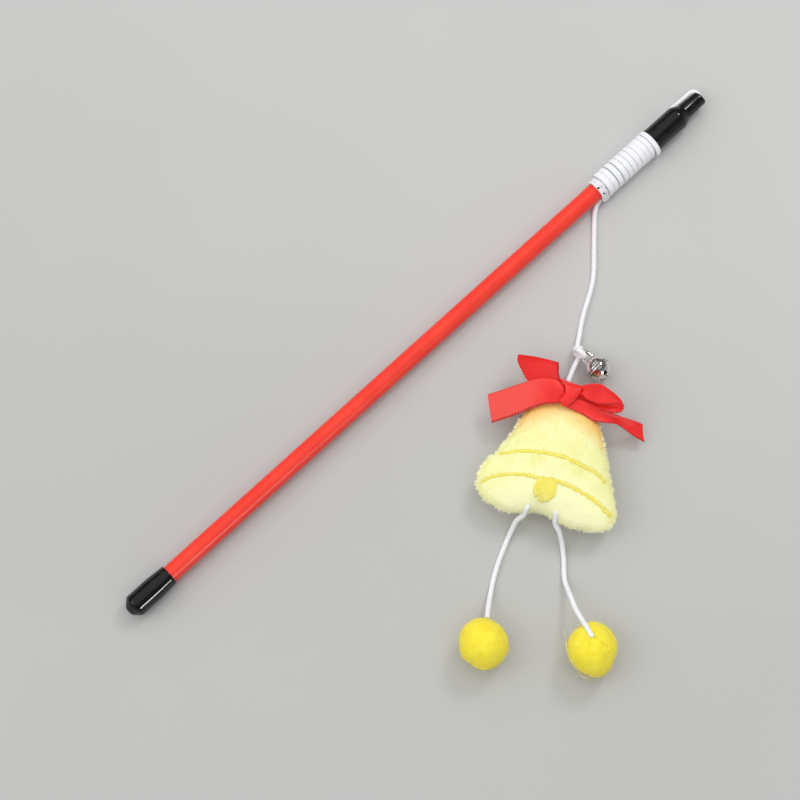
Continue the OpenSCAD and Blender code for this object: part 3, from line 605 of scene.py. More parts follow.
def winding_line():
    """Centre and turning angle of the wound cord, from the tip's side to the free cord's exit."""
    def turn_x(a):
        level = WIND_FIRST_X - WIND_PITCH * a / 360 + 0.3517 * math.sin(math.radians(a - 90))
        return level - 0.5 * (1 - float(smooth(a / 1300))) - 0.9 * float(smooth((a - 2450) / 1200))

    def turn_r(a):
        return CENTRE_R + 0.5 * (1 - float(smooth((a + 13) / 24))) + 0.95 * near(a, 175, 70)

    out = [(x, 6.3, -40) for x in np.linspace(290.776, 288.9, 4)]
    for q in np.radians(np.linspace(0, 90, 7)):
        out.append((288.876 - 3.2 * math.sin(q), 6.3 - 1.05 * math.sin(q) ** 6, -40 + 27 * (1 - math.cos(q))))
    out += [(turn_x(a), turn_r(a), a) for a in np.arange(-8, WIND_END, 5)]
    for q in np.radians(np.linspace(0, 90, 7)):
        out.append((258.424 - 1.3 * (1 - math.cos(q)), CENTRE_R, WIND_END + 27 * math.sin(q)))
    out += [(x, CENTRE_R, WIND_END + 27) for x in np.linspace(256.9, 253.3, 8)]
    return np.array(out)


def make_winding():
    """The cord lies flattened on the rod, so its section is wider along the rod than it is high."""
    x, r, a = evenly(winding_line() * [1, 1, TURN_MM], 0.3).T
    a = np.radians(a / TURN_MM)
    radial = np.stack([np.zeros_like(a), np.cos(a), np.sin(a)], -1)
    line = np.stack([x, r * np.cos(a), r * np.sin(a)], -1)
    along = unit(np.gradient(line, axis=0))
    side = unit(np.cross(radial, along))
    over = np.cross(along, side)
    run = run_of(line)
    flat = (smooth((run - 2) / 5) * smooth((run[-1] - 4 - run) / 5))[:, None]
    phi = around(WIND_SIDES)[None, :]
    lift = RELIEF * (braid(phi, run[:, None]) - 0.8)
    spread = np.array([near(d, 3650, 150) for d in np.degrees(a)])[:, None]
    packed = 1 - smooth(np.degrees(a) / 1300)[:, None]
    loose = smooth((np.degrees(a) - 2450) / 300)[:, None]
    wide = CORD_R + (0.36 + 0.08 * loose - 0.13 * packed) * flat + 0.12 * spread + lift
    high = CORD_R - 0.02 * flat + lift
    c, s = (np.sign(f) * np.abs(f) ** (1 - 0.36 * flat) for f in (np.cos(phi), np.sin(phi)))
    rows = line[:, None] + (wide * c)[..., None] * side[:, None] + (high * s)[..., None] * over[:, None]
    wound = grid_object("cord_winding_wound", above_table(rows, 0.01))
    piece(wound, "cord", "wand", "white_elastic", "cord_winding")
    # The turns' side faces get the grey look: painted shade that draws the grooves between the turns.
    sideways = np.abs(np.cos(around(WIND_SIDES) + math.pi / WIND_SIDES)) > 0.94
    mark(wound, "cord_groove_shade", (flat[:-1] > 0.9) & sideways[None, :])


def hull(circles, count):
    """Outline round circles (y, z, r), as count points at even angles about the first one's middle."""
    angle = around(count)
    way = around(720)
    normal = directions(way)
    support = np.max([normal @ np.array([y, z]) + r for y, z, r in circles], axis=0)
    reach = []
    for a in angle:
        facing = normal @ np.array([math.cos(a), math.sin(a)])
        reach.append(np.min(np.where(facing > 0.02, support / np.maximum(facing, 0.02), 1e9)))
    return directions(angle) * np.array(reach)[:, None]


BAND_X, BAND_W = 254.474, 3.6


def make_band():
    """Clear elastic, wound three times round the rod and the cord's last run."""
    count = 120
    outer = hull([(0, 0, 4.9), (-3.639, -3.053, 2.05)], count)
    inner = hull([(0, 0, 3.8), (-3.639, -3.053, 1.2)], count)
    rows = []
    wraps = 3
    for t in np.linspace(0, 1, 40):
        x = BAND_X + BAND_W * t
        swell = abs(math.sin(math.pi * wraps * t)) ** 0.5
        ring = inner + (outer - inner) * (0.45 + 0.55 * swell)
        skew = 0.35 * np.sin(around(count) + 1)
        rows.append(np.column_stack([x + skew * math.sin(math.pi * t), ring]))
    rows += [np.column_stack([np.full(count, BAND_X + BAND_W * t), inner]) for t in np.linspace(1, 0, 8)]
    rows.append(rows[0])
    made = grid_object("band_clear_elastic", rows, capped=False)
    for v in made.data.vertices:
        v.co.z = max(v.co.z, (FLOOR_Z + 0.01) * MM)
    piece(made, "band", "wand", "clear_elastic", "clear_band")


make_rod()
make_handle_cap()
make_tip_cap()
make_winding()
make_band()


# ---- jingle bell
BELL_AT = np.array([202.254, -55.439, -0.11])
STRAP_AT = np.array([202.254, -48.239, -0.11])
BELL_R = 5.1
SHELL = 0.4
SLOT_HALF = 0.3
HOLE_R = 1.05
HOLE_ANGLE = math.radians(36)


def cut_with(made, cutter):
    """Takes the cutter's solid out of a mesh, for good."""
    boolean = made.modifiers.new("cut", "BOOLEAN")
    boolean.operation = "DIFFERENCE"
    boolean.object = cutter
    boolean.solver = "EXACT"
    graph = bpy.context.evaluated_depsgraph_get()
    mesh = bpy.data.meshes.new_from_object(made.evaluated_get(graph))
    made.modifiers.clear()
    old = made.data
    made.data = mesh
    bpy.data.meshes.remove(old)
    bpy.data.objects.remove(cutter)


def box_object(name, low, high):
    bm = bmesh.new()
    bmesh.ops.create_cube(bm, size=1)
    low, high = np.asarray(low, float), np.asarray(high, float)
    for v in bm.verts:
        v.co = Vector((low + (np.array(v.co) + 0.5) * (high - low)) * MM)
    return from_bmesh(name, bm)


def make_bell():
    """Two pressed half shells, crimped at a rim. Along the axis, minus is the ring's end."""
    def arc(r, start, end, count):
        return [(-r * math.cos(a), r * math.sin(a)) for a in np.radians(np.linspace(start, end, count))]

    rim = [(-0.66, 4.84), (-0.5, 4.84), (-0.46, 5.15), (-0.38, 5.25), (-0.08, 5.25), (-0.01, 5.15), (-0.01, 4.75)]
    upper = arc(BELL_R, 0.5, 81, 30) + rim + arc(BELL_R - SHELL, 89, 0.5, 26)
    top = lathe("bell_upper_pressed", upper, BELL_AT, sides=128)
    piece(top, "chrome", "jingle", "bell_chrome", "bell_upper_shell")
    lower = [(-a, r) for a, r in upper][::-1]
    bottom = lathe("bell_lower_pressed", lower, BELL_AT, sides=128)
    reach = BELL_R * math.sin(HOLE_ANGLE)
    deep = BELL_AT[1] - BELL_R * math.cos(math.radians(45))
    for half in ((reach, SLOT_HALF), (SLOT_HALF, reach)):
        low = (BELL_AT[0] - half[0], BELL_AT[1] - BELL_R - 1, BELL_AT[2] - half[1])
        high = (BELL_AT[0] + half[0], deep, BELL_AT[2] + half[1])
        cut_with(bottom, box_object("slot_cutter", low, high))
    for a in (0, 90, 180, 270):
        c, s = reach * math.cos(math.radians(a)), reach * math.sin(math.radians(a))
        ends = [(0.5, HOLE_R), (BELL_R + 1, HOLE_R)]
        cut_with(bottom, lathe("hole_cutter", ends, BELL_AT + [c, 0, s], sides=32))
    bottom.data.set_sharp_from_angle(angle=math.radians(35))
    piece(bottom, "chrome", "jingle", "bell_chrome", "bell_lower_shell")
    top.data.set_sharp_from_angle(angle=math.radians(35))
    # The faces along the crimp get the dark look: painted shade in the crimp's hollow.
    for shell in (top, bottom):
        faces = [(f.normal, f.center / MM - Vector(BELL_AT)) for f in shell.data.polygons]
        mark(shell, "crease_shade", [abs(c.y) < 0.7 and math.hypot(c.x, c.z) < 5.12 and n.dot(c) > 0 for n, c in faces])
    turn = np.radians(np.linspace(0, 180, 40))
    bow = [(1.7 * math.cos(a) - 0.3, 1.8 * math.sin(a)) for a in turn]
    bow = [(1.8, -2.6), (1.6, -1.4)] + bow + [(-2.1, -1.4), (-2.15, -2.6)]
    line = evenly(spline([(x, y, 0) for x, y in bow], 4), 0.15)
    along = unit(np.gradient(line, axis=0))
    out = np.cross(along, UP)
    section = [(-0.7, -0.18), (-0.6, -0.28), (0.6, -0.28), (0.7, -0.18)]
    section += [(0.7, 0.3), (0.55, 0.5), (-0.55, 0.5), (-0.7, 0.3)]
    rows = [[p + o * h + UP * w + STRAP_AT for w, h in section] for p, o in zip(line, out)]
    strap = grid_object("bell_strap", rows)
    strap.data.set_sharp_from_angle(angle=math.radians(40))
    piece(strap, "chrome", "jingle", "bell_chrome", "bell_loop")
    # The ring's inner faces get the dark look: painted shade inside the ring.
    faces = [(f.normal, Vector((STRAP_AT - np.array(f.center) / MM) * [1, 1, 0])) for f in strap.data.polygons]
    mark(strap, "crease_shade", [n.dot(inwards.normalized()) > 0.6 for n, inwards in faces])
    low, high = (np.array(c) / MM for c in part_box("bell_pea"))
    ball = [(-1.6 * math.cos(a), 1.6 * math.sin(a)) for a in np.radians(np.linspace(1, 179, 30))]
    pea = lathe("bell_pea_ball", ball, (low + high) / 2, sides=48)
    piece(pea, "pea", "pea", "pea_steel", "bell_pea")


make_bell()


# ---- ribbon bow
RIBBON_T = 0.3
SHEET_SIDE_M = 0.01
PICOT = 0.32
PICOT_PITCH = 1.15
PICOT_GAP = 0.65

# Each row is a place along the run: x, y and z of one edge, then of the other.
LEFT_TAIL = [
    (-1.7, 3.9, 9.5, -0.5, -2.0, 9.4), (-5.1, 5.3, 10.1, -3.5, -4.1, 9.9), (-9.6, 5.0, 10.4, -7.4, -5.0, 10.1),
    (-13.7, 3.7, 10.0, -11.1, -6.9, 9.6), (-17.8, 1.8, 9.0, -14.5, -8.8, 8.4), (-21.8, -0.2, 7.6, -19.2, -11.7, 7.0),
    (-26.6, -2.6, 5.8, -23.7, -13.7, 5.0), (-31.0, -4.6, 4.2, -27.4, -15.4, 3.4),
]
LEFT_LOOP = [
    (-4.1, 0.4, 7.2, -1.4, 2.8, 7.3), (-9.9, 0.9, 6.3, -2.0, 4.3, 6.3), (-15.8, 4.2, 5.3, -3.8, 7.3, 5.3),
    (-19.2, 8.2, 5.0, -5.0, 10.1, 5.0), (-21.5, 11.4, 5.3, -5.4, 12.0, 5.4), (-21.7, 13.7, 6.9, -5.5, 13.4, 6.9),
    (-21.6, 10.6, 8.3, -5.1, 11.5, 8.2), (-19.4, 7.2, 8.7, -4.7, 9.1, 8.6), (-16.0, 3.2, 8.7, -3.7, 6.5, 8.7),
    (-10.3, 0.3, 8.4, -1.9, 3.7, 8.5), (-4.5, 0.1, 8.1, -1.3, 2.5, 8.2),
]
RIGHT_LOOP = [
    (3.0, 3.4, 9.6, 3.2, 1.6, 9.4), (5.4, 4.4, 10.4, 5.8, 1.4, 10.1), (8.0, 5.3, 12.4, 9.6, -0.8, 10.7),
    (12.7, 5.9, 13.6, 14.6, -1.5, 11.5), (16.9, 4.3, 13.5, 18.2, -0.6, 11.5), (20.9, 2.1, 12.6, 20.9, 0.4, 11.4),
    (23.0, 0.2, 11.6, 23.4, -0.8, 10.9), (23.4, -0.2, 9.9, 23.0, -2.4, 9.9), (21.4, 1.2, 7.8, 20.8, -3.4, 9.3),
    (16.9, 2.0, 6.9, 16.8, -3.3, 8.8), (11.2, 3.0, 6.9, 12.0, -3.0, 8.2), (6.3, 3.4, 7.2, 7.4, -2.2, 7.8),
    (3.0, 3.2, 7.6, 3.0, -1.0, 7.6),
]
RIGHT_TAIL = [
    (2.7, -1.2, 9.6, 1.1, -4.7, 9.3), (6.3, -1.1, 9.2, 4.8, -5.4, 8.9), (10.4, -1.6, 8.9, 8.6, -6.4, 8.6),
    (14.6, -2.5, 8.5, 12.8, -7.8, 8.1), (18.8, -3.2, 7.4, 17.3, -7.5, 7.0), (23.0, -3.6, 5.6, 21.8, -6.7, 5.2),
    (27.2, -3.5, 3.2, 24.8, -7.1, 2.9), (30.6, -3.5, 0.9, 30.2, -9.0, 0.6), (32.9, -3.6, -0.8, 35.0, -10.3, -1.2),
]
KNOT_WRAP = [
    (-4.0, 6.9, 7.2, 5.2, 5.4, 7.2), (-4.1, 6.1, 9.2, 5.7, 4.7, 9.2), (-1.6, 4.0, 11.0, 5.7, 3.4, 10.9),
    (-0.5, 0.9, 11.5, 4.7, 0.4, 11.3), (-1.2, -1.5, 11.4, 3.5, -1.7, 11.2), (-2.3, -3.0, 10.6, 1.1, -4.7, 10.4),
    (-2.0, -3.2, 8.6, 0.9, -4.7, 8.6),
]


def cloth(name, rows, look, node, offset):
    """A run of the ribbon over rows of points, and its area; offset says which side its thickness is on."""
    made = grid_object(name, toy(rows), wrap=False)
    solid = made.modifiers.new("cloth", "SOLIDIFY")
    solid.thickness, solid.offset = RIBBON_T * MM, offset
    piece(made, look, "toy", "red_satin", node)
    return made, sum(p.area for p in made.data.polygons)


def ribbon(name, edges, crown, waves, node, look="satin", shaded_picot_sides=(1,)):
    """A strip between two edges, with picot loops on both; crown lifts its middle, waves ripple it.

    waves has tuples of (how high, waves along, waves across, where it starts).
    """
    across, step = 18, 0.2
    both = evenly(spline(edges, 12), step * 1.41)
    one, other = both[:, :3], both[:, 3:]
    middle = (one + other) / 2
    run = run_of(middle)
    along = unit(np.gradient(middle, axis=0))
    wide = unit(other - one)
    out = unit(np.cross(along, wide))
    share = np.linspace(0, 1, across)
    rows = one[:, None] + share[None, :, None] * (other - one)[:, None]
    lift = crown * np.sin(math.pi * share)[None, :] * np.ones(len(run))[:, None]
    for high, length, width, start in waves:
        lift = lift + high * np.sin(2 * math.pi * (run[:, None] / run[-1] * length + share[None, :] * width + start))
    rows = rows + lift[..., None] * out[:, None]
    teeth = PICOT * np.abs(np.sin(math.pi * run / PICOT_PITCH))[:, None]
    rows[:, 0] -= teeth * wide
    rows[:, -1] += teeth * wide
    made, area = cloth(name, rows, look, node, 0)
    # Faces in the gaps between picot loops on the chosen edges get the dark red: painted shade.
    gap = np.abs(np.sin(math.pi * (run[:-1] + run[1:]) / 2 / PICOT_PITCH)) < PICOT_GAP
    edge = np.isin(np.arange(across - 1), [(0, across - 2)[side] for side in shaded_picot_sides])
    mark(made, "picot_shade", gap[:, None] & edge[None, :])
    length = max(SHEET_SIDE_M, round(run[-1] * MM, 4))


def make_bow():
    ribbon("ribbon_left_tail", LEFT_TAIL, 0.5, [(0.25, 1.2, 0.5, 0.1)], "bow_left_tail")
    # The left loop takes the darker satin: painted shade.
    ribbon("ribbon_left_loop", LEFT_LOOP, 0.3, [(0.2, 2.0, 0.4, 0.0)], "bow_left_loop", look="shade")
    ribbon("ribbon_right_loop", RIGHT_LOOP, 0.4, [(0.15, 2.5, 0.4, 0.3)], "bow_right_loop")
    ribbon("ribbon_right_tail", RIGHT_TAIL, 0.4, [(0.2, 1.5, 0.5, 0.4)], "bow_right_tail")
    ribbon("ribbon_knot_wrap", KNOT_WRAP, 0.2, [(0.14, 0.6, 1.1, 0.2)], "bow_knot", shaded_picot_sides=())


make_bow()


# ---- plush bell
HEIGHT, HALF_WIDTH, HALF_DEPTH, MID_Z = 52.0, 29.0, 10.0, 4.04
CENTRE = np.array([0.0, -0.62 * HEIGHT])
OUTLINE = [
    (0, 0), (0.21, 0), (0.36, -0.02), (0.455, -0.075), (0.505, -0.135), (0.56, -0.2), (0.655, -0.335), (0.755, -0.48),
    (0.87, -0.655), (0.965, -0.79), (0.985, -0.865), (0.925, -0.95), (0.775, -0.995), (0.55, -1), (0.345, -0.995),
    (0.17, -0.967), (0.02, -0.937), (-0.14, -0.93), (-0.31, -0.954), (-0.52, -0.965), (-0.725, -0.94), (-0.9, -0.887),
    (-0.99, -0.82), (-1, -0.73), (-0.94, -0.62), (-0.795, -0.515), (-0.67, -0.385), (-0.57, -0.25), (-0.505, -0.155),
    (-0.455, -0.077), (-0.36, -0.02), (-0.21, 0), (0, 0),
]
EDGE = spline([(x * HALF_WIDTH, y * HEIGHT, 0) for x, y in OUTLINE])[:, :2]
EDGE_ANGLE = np.unwrap(np.arctan2(*(EDGE - CENTRE).T[::-1]))
EDGE_REACH = np.linalg.norm(EDGE - CENTRE, axis=1) - 0.5


def edge_reach(angle):
    """How far the outline is from the middle, in the directions given."""
    order = np.argsort(EDGE_ANGLE)
    a, r = EDGE_ANGLE[order], EDGE_REACH[order]
    turned = (angle - a[0]) % (2 * math.pi) + a[0]
    return np.interp(turned, a, r)


def dome(points):
    """The plush's half thickness over points of the toy's plan."""
    p = np.asarray(points, float)
    way = p - CENTRE
    share = np.linalg.norm(way, axis=-1) / edge_reach(np.arctan2(way[..., 1], way[..., 0]))
    full = 1 - 0.38 * smooth((p[..., 1] + 39) / 39)
    return HALF_DEPTH * full * np.sqrt(np.clip(1 - np.clip(share, 0, 1) ** 2.4, 0, 1))


def lumps(points, size, seed=0.0):
    """Soft noise over points, from about -1 to 1."""
    flat = np.asarray(points, float).reshape(-1, 3)
    out = [noise.noise(Vector(p) / size + Vector((seed, seed, seed))) for p in flat]
    return np.array(out).reshape(np.asarray(points).shape[:-1])


def panel(name, side, rings=56, spokes=200, inset=0.0):
    """One half of the plush, from its middle out to the seam; side is 1 for the front."""
    angle = around(spokes)
    share = np.sin(np.linspace(0.0005, 1, rings) * math.pi / 2)
    reach = edge_reach(angle) - inset
    plan = CENTRE + (share[:, None] * reach[None, :])[..., None] * directions(angle)[None]
    high = np.maximum(dome(plan) - inset, 0)
    p = np.concatenate([plan, (MID_Z + side * high)[..., None]], -1)
    out = lumps(p, 8.0, side * 3.1) * 0.15 + lumps(p, 2.2, side) * 0.05 + lumps(p, 1.0, side) * 0.03
    p[..., 2] += side * out * (1 - share[:, None] ** 8)
    above_table(p, 0.05)
    made = grid_object(name, toy(p if side < 0 else p[:, ::-1]), capped=False)
    normals = np.array([v.vector for v in made.data.vertex_normals])
    made.data.normals_split_custom_set_from_vertices(unit(normals * [0.6, 0.6, 1] + [0, 0, 0.5 * side]).tolist())
    return made


def surface(plan, side=1):
    """Points on the plush over the toy's plan."""
    plan = np.asarray(plan, float)
    return np.concatenate([plan, (MID_Z + side * dome(plan))[..., None]], -1)


def blades(name, roots, ways, lengths, facing, width=0.2, bend=0.35, parts=3):
    """Short tapered fibres in one mesh, each a bent strip from its root.

    They are shaded like the surface under them, and cast no shadow.
    """
    count, per = len(roots), 2 * parts + 1
    side = unit(np.cross(ways, facing + draw.normal(size=(count, 3)) * 0.4))
    side *= np.where(np.sum(np.cross(side, ways) * facing, axis=1, keepdims=True) < 0, -1, 1)
    sway = draw.normal(size=(count, 3)) * bend
    rows = []
    for t in np.arange(parts) / parts:
        at = roots + lengths[:, None] * (t * ways + t * t * sway)
        half = width * 0.5 * (1 - 0.7 * t)
        rows += [at - half * side, at + half * side]
    rows.append(roots + lengths[:, None] * (ways + sway))
    points = above_table(np.stack(rows, 1).reshape(-1, 3), 0.02)
    first = np.arange(count) * per
    faces = []
    for k in range(0, 2 * parts - 2, 2):
        faces += (first[:, None] + [k, k + 1, k + 3, k + 2]).tolist()
    faces += (first[:, None] + [per - 3, per - 2, per - 1]).tolist()
    made = as_object(name, points, faces)
    made.data.normals_split_custom_set_from_vertices(np.repeat(unit(facing), per, axis=0).tolist())
    made.visible_shadow = False
    return made


def pile_roots(count, side):
    """Places and directions for the pile, more of it near the seam."""
    angle = draw.uniform(0, 2 * math.pi, count)
    at_seam = draw.uniform(size=count) < 0.35
    share = np.where(at_seam, draw.uniform(0.93, 1.0, count), np.sqrt(draw.uniform(0.0, 0.9, count)))
    reach = edge_reach(angle)
    out = directions(angle)
    plan = CENTRE + (share * reach)[:, None] * out
    root = surface(plan, side)
    d = 0.3
    gx = (dome(plan + [d, 0]) - dome(plan - [d, 0])) / (2 * d)
    gy = (dome(plan + [0, d]) - dome(plan - [0, d])) / (2 * d)
    normal = unit(np.stack([-gx, -gy, np.full(count, 1.0)], -1)) * [1, 1, side]
    combed = np.array([0.1, -0.6, 0])
    outward = np.concatenate([out * (share[:, None] ** 10) * 0.9, np.zeros((count, 1))], -1)
    way = unit(normal * 0.35 + combed + outward + draw.normal(size=(count, 3)) * 0.3)
    return root, way, share, normal


LEG_ROOTS = ((-8.0, -50.75), (5.0, -51.6))
PILE = (("pile_front", 1, 22000), ("pile_back", -1, 7000))
TUFTS, TUFT_FIBRES = 250, 8


def make_fringe():
    """Tufts of longer fibre that stand out round the seam; the fibres of a tuft lean together."""
    angle = np.sort(draw.uniform(0, 2 * math.pi, TUFTS))
    lean = draw.normal(size=TUFTS) * 0.5
    size = draw.uniform(1.1, 2.1, TUFTS)
    angle, lean, size = (np.repeat(v, TUFT_FIBRES) for v in (angle, lean, size))
    angle = angle + draw.normal(size=len(angle)) * 0.008
    out = directions(angle)
    plan = CENTRE + (draw.uniform(0.975, 1.0, len(angle)) * edge_reach(angle))[:, None] * out
    root = surface(plan)
    root[:, 2] = MID_Z + (root[:, 2] - MID_Z) * draw.uniform(-0.5, 1.0, len(angle))
    keep = root[:, 1] < -1.2
    turned = np.stack([-out[:, 1], out[:, 0]], -1)
    way = out + lean[:, None] * turned + [0.05, -0.35]
    way = unit(np.column_stack([way, draw.normal(size=len(angle)) * 0.2]))
    root, way, size = root[keep], way[keep], size[keep]
    to = toy(root)
    facing = np.tile(UP, (len(root), 1))
    made = blades("pile_fringe", to, toy(root + way) - to, size * draw.uniform(0.8, 1.1, len(root)), facing, 0.3, 0.1)
    piece(made, "fringe", "toy", "pale_plush")


def make_plush():
    piece(panel("plush_front_pile", 1), "plush", "toy", "pale_plush", "plush_front")
    piece(panel("plush_back_pile", -1), "plush", "toy", "pale_plush", "plush_back")
    fill = joined([panel("fill_front", 1, 24, 72, 1.4), panel("fill_back", -1, 24, 72, 1.4)], "plush_filling_fibre")
    piece(fill, "filling", "toy", "white_stuffing", "plush_filling")
    for name, side, count in PILE:
        root, way, share, normal = pile_roots(count, side)
        keep = (root[:, 2] > FLOOR_Z + 0.4) & (root[:, 1] < 0.2)
        for at in LEG_ROOTS:
            keep &= np.linalg.norm(root[:, :2] - at, axis=1) > 1.7
        root, way, share, normal = (v[keep] for v in (root, way, share, normal))
        length = draw.uniform(0.35, 0.75, len(root)) + draw.uniform(0, 0.6, len(root)) * (share > 0.92)
        tip_z = root[:, 2] + way[:, 2] * length * 1.4
        way[:, 2] = np.where(tip_z < FLOOR_Z + 0.1, 0.05, way[:, 2])
        to = toy(root)
        facing = unit((toy(root + normal) - to) * [0.25, 0.25, 0] + UP)
        made = blades(name, to, toy(root + way) - to, length, facing)
        piece(made, "pile", "toy", "pale_plush")
    make_fringe()


ARC_UPPER = [
    (-0.75, -0.552), (-0.48, -0.512), (-0.217, -0.498), (0.09, -0.5), (0.37, -0.537), (0.614, -0.577), (0.738, -0.62),
]
ARC_LOWER = [
    (-0.948, -0.8), (-0.755, -0.74), (-0.417, -0.698), (-0.207, -0.704), (0.114, -0.706), (0.39, -0.742),
    (0.628, -0.788), (0.91, -0.875),
]
CLAPPER = np.array([-1.6, -40.55])
CLAPPER_R = 4.7
CLAPPER_STITCHES = 720


def threads(name, lines, radii, section, capped):
    """Thin threads in one mesh, each along a line with a radius at each point; section is their outline."""
    points, faces = [], []
    ring = len(section)
    for line, sizes in zip(lines, radii):
        along, side, over = carried_frames(line)
        start = len(points)
        for at, r, u, v in zip(line, sizes, side, over):
            points += [at + r * (c * u + s * v) for c, s in section]
        faces += grid_faces(len(line), ring, True, start)[0].tolist()
        if capped:
            faces += [list(range(start + ring - 1, start - 1, -1)), list(range(len(points) - ring, len(points)))]
    return as_object(name, points, faces)


def stitches(name, ends, width, high):
    """Rounded threads, each between two plan points and bowed over the plush."""
    t = np.linspace(0, 1, 5)
    bow = high * np.sin(math.pi * t) * 0.8 + 0.12
    lines = [toy(surface(a + t[:, None] * (b - a)) + bow[:, None] * UP) for a, b in ends]
    sizes = [width / 2 * (0.55 + 0.45 * math.sin(math.pi * share)) for share in t]
    turns = [k * 2 * math.pi / 6 for k in range(6)]
    return threads(name, lines, [sizes] * len(lines), [(math.cos(a), math.sin(a)) for a in turns], True)


def make_embroidery():
    ends = []
    for shares in (ARC_UPPER, ARC_LOWER):
        line = evenly(spline([(x * HALF_WIDTH, y * HEIGHT, 0) for x, y in shares])[:, :2], 0.3)
        along = unit(np.gradient(line, axis=0))
        across = np.stack([-along[:, 1], along[:, 0]], -1)
        for p, v, u, t in zip(line, across, along, np.linspace(0, 1, len(line))):
            half, slip = 0.5 + 0.4 * t + draw.uniform(-0.35, 0.35), draw.uniform(-0.25, 0.25) * v
            lean = draw.uniform(-0.4, 0.4) * u
            ends.append((p - half * v - lean + slip, p + half * v + lean + slip))
    arcs = stitches("stitched_arcs", ends, 0.46, 0.14)
    piece(arcs, "gold", "toy", "gold_thread", "embroidered_arcs")
    ends = []
    while len(ends) < CLAPPER_STITCHES:
        at = draw.uniform(-CLAPPER_R, CLAPPER_R, 2)
        lean, half = draw.normal(1.2, 0.35), draw.uniform(0.45, 0.8)
        run = half * np.array([math.cos(lean), math.sin(lean)])
        if np.linalg.norm(at) + 0.5 * half < CLAPPER_R + draw.uniform(-0.2, 0.2):
            ends.append((CLAPPER + at - run, CLAPPER + at + run))
    disc = stitches("stitched_clapper", ends, 0.42, 0.15)
    piece(disc, "gold", "toy", "gold_thread", "embroidered_clapper")


make_plush()
make_embroidery()


# ---- legs and pompoms
FUZZ = 9000
LEFT_BALL = np.array([89.683, -106.103, 4.29])
LEFT_SHAPE = [
    (3.5, 9.75), (31.7, 9.7), (61, 9.8), (85.9, 10.35), (116, 10.75), (135.6, 10.8), (159.7, 10.35), (188.1, 9.9),
    (211.7, 10.25), (234.3, 9.4), (268.6, 10.35), (298.1, 10.05), (326.8, 9.85), (349.2, 10.15),
]
RIGHT_SHAPE = [
    (7.1, 10.05), (27.2, 10.35), (46.9, 10.55), (67.5, 11.05), (86.2, 11.3), (96.4, 11.1), (107.6, 10.7),
    (120.3, 10.4), (138.9, 10.25), (159, 10.4), (181.4, 10.1), (198.9, 10.0), (218.9, 9.9), (238.3, 9.95),
    (260.3, 10.35), (278.8, 11.45), (294.9, 11.25), (313.1, 10.55), (330.1, 9.5), (346.7, 9.75),
]
CREASE = [(-0.4, 5.6), (1.0, 5.0), (3.2, 3.0), (5.2, 1.5)]


def away_from(u, v, line):
    """Distance of points (u, v) from a line, and how far along it each one is."""
    fine = evenly(np.asarray(line, float), 0.15)
    gap = np.hypot(u[:, None] - fine[None, :, 0], v[:, None] - fine[None, :, 1])
    nearest = gap.argmin(axis=1)
    return gap[np.arange(len(u)), nearest], fine[nearest]


def on_ball(way, shape, seed, dented):
    """Points of a felted ball from its middle, for directions given in the picture's own frame."""
    angle, reach = np.array(shape).T
    mean = reach.mean()
    azimuth = np.degrees(np.arctan2(way[:, 1], way[:, 0])) % 360
    r = mean + (np.interp(azimuth, angle, reach, period=360) - mean) * np.hypot(way[:, 0], way[:, 1]) ** 2
    r = r * (0.975 + 0.016 * lumps(way, 0.55, seed) + 0.008 * lumps(way, 0.2, seed))
    p = way * r[:, None]
    if dented:
        gap, at = away_from(p[:, 0], p[:, 1], OVER_BALL[1:])
        limit = at[:, 2] - 0.5 + 1.3 * np.maximum(gap - 0.9, 0)
        p[:, 2] = np.where(p[:, 2] > 0, np.minimum(p[:, 2], limit), p[:, 2])
        gap, at = away_from(p[:, 0], p[:, 1], [(u, v, 0) for u, v in CREASE])
        p[:, 2] -= np.where(p[:, 2] > 0, 0.9 * smooth(1 - gap / 0.7), 0)
    return p


def pompom(name, node, body, centre, shape, seed, strays, dented=False):
    """A felted ball of short fibre, flattened where it lies."""
    bm = bmesh.new()
    bmesh.ops.create_icosphere(bm, subdivisions=6, radius=1)
    way = unit(np.array([v.co for v in bm.verts]))
    p = above_table(seen_from(centre, on_ball(way, shape, seed, dented)), 0.05)
    facing = way @ PICTURE
    for v, q in zip(bm.verts, p):
        v.co = Vector(q * MM)
    for f in bm.faces:
        f.smooth = True
    made = from_bmesh(name, bm)
    piece(made, "pompom", body, "yellow_pompom", node)
    way = unit(draw.normal(size=(FUZZ, 3)))
    flat = on_ball(way, shape, seed, dented)
    root = seen_from(centre, flat * 0.99)
    keep = root[:, 2] > FLOOR_Z + 0.6
    if dented:
        for line in (OVER_BALL[1:], [(u, v, 0) for u, v in CREASE]):
            keep &= (away_from(flat[:, 0], flat[:, 1], line)[0] > 0.8) | (flat[:, 2] < 0)
    out = way[keep] @ PICTURE
    lie = unit(out * 0.35 + draw.normal(size=out.shape) * 0.5)
    length = draw.uniform(0.3, 0.65, len(out))
    fuzz = blades(name + "_fuzz", root[keep], lie, length, unit(out * [0.6, 0.6, 0.3] + UP), width=0.13, bend=0.25)
    piece(fuzz, "pompom", body, "yellow_pompom")
    lines = [above_table(evenly(spline(seen_from(centre, points)), 0.4), 0.12) for points in strays]
    radii = [[0.1 * (1 - 0.6 * i / len(line)) for i in range(len(line))] for line in lines]
    loose = threads(name + "_strays", lines, radii, [(1, 0), (0, 1), (-1, -1)], False)
    piece(loose, "stray", body, "yellow_pompom")


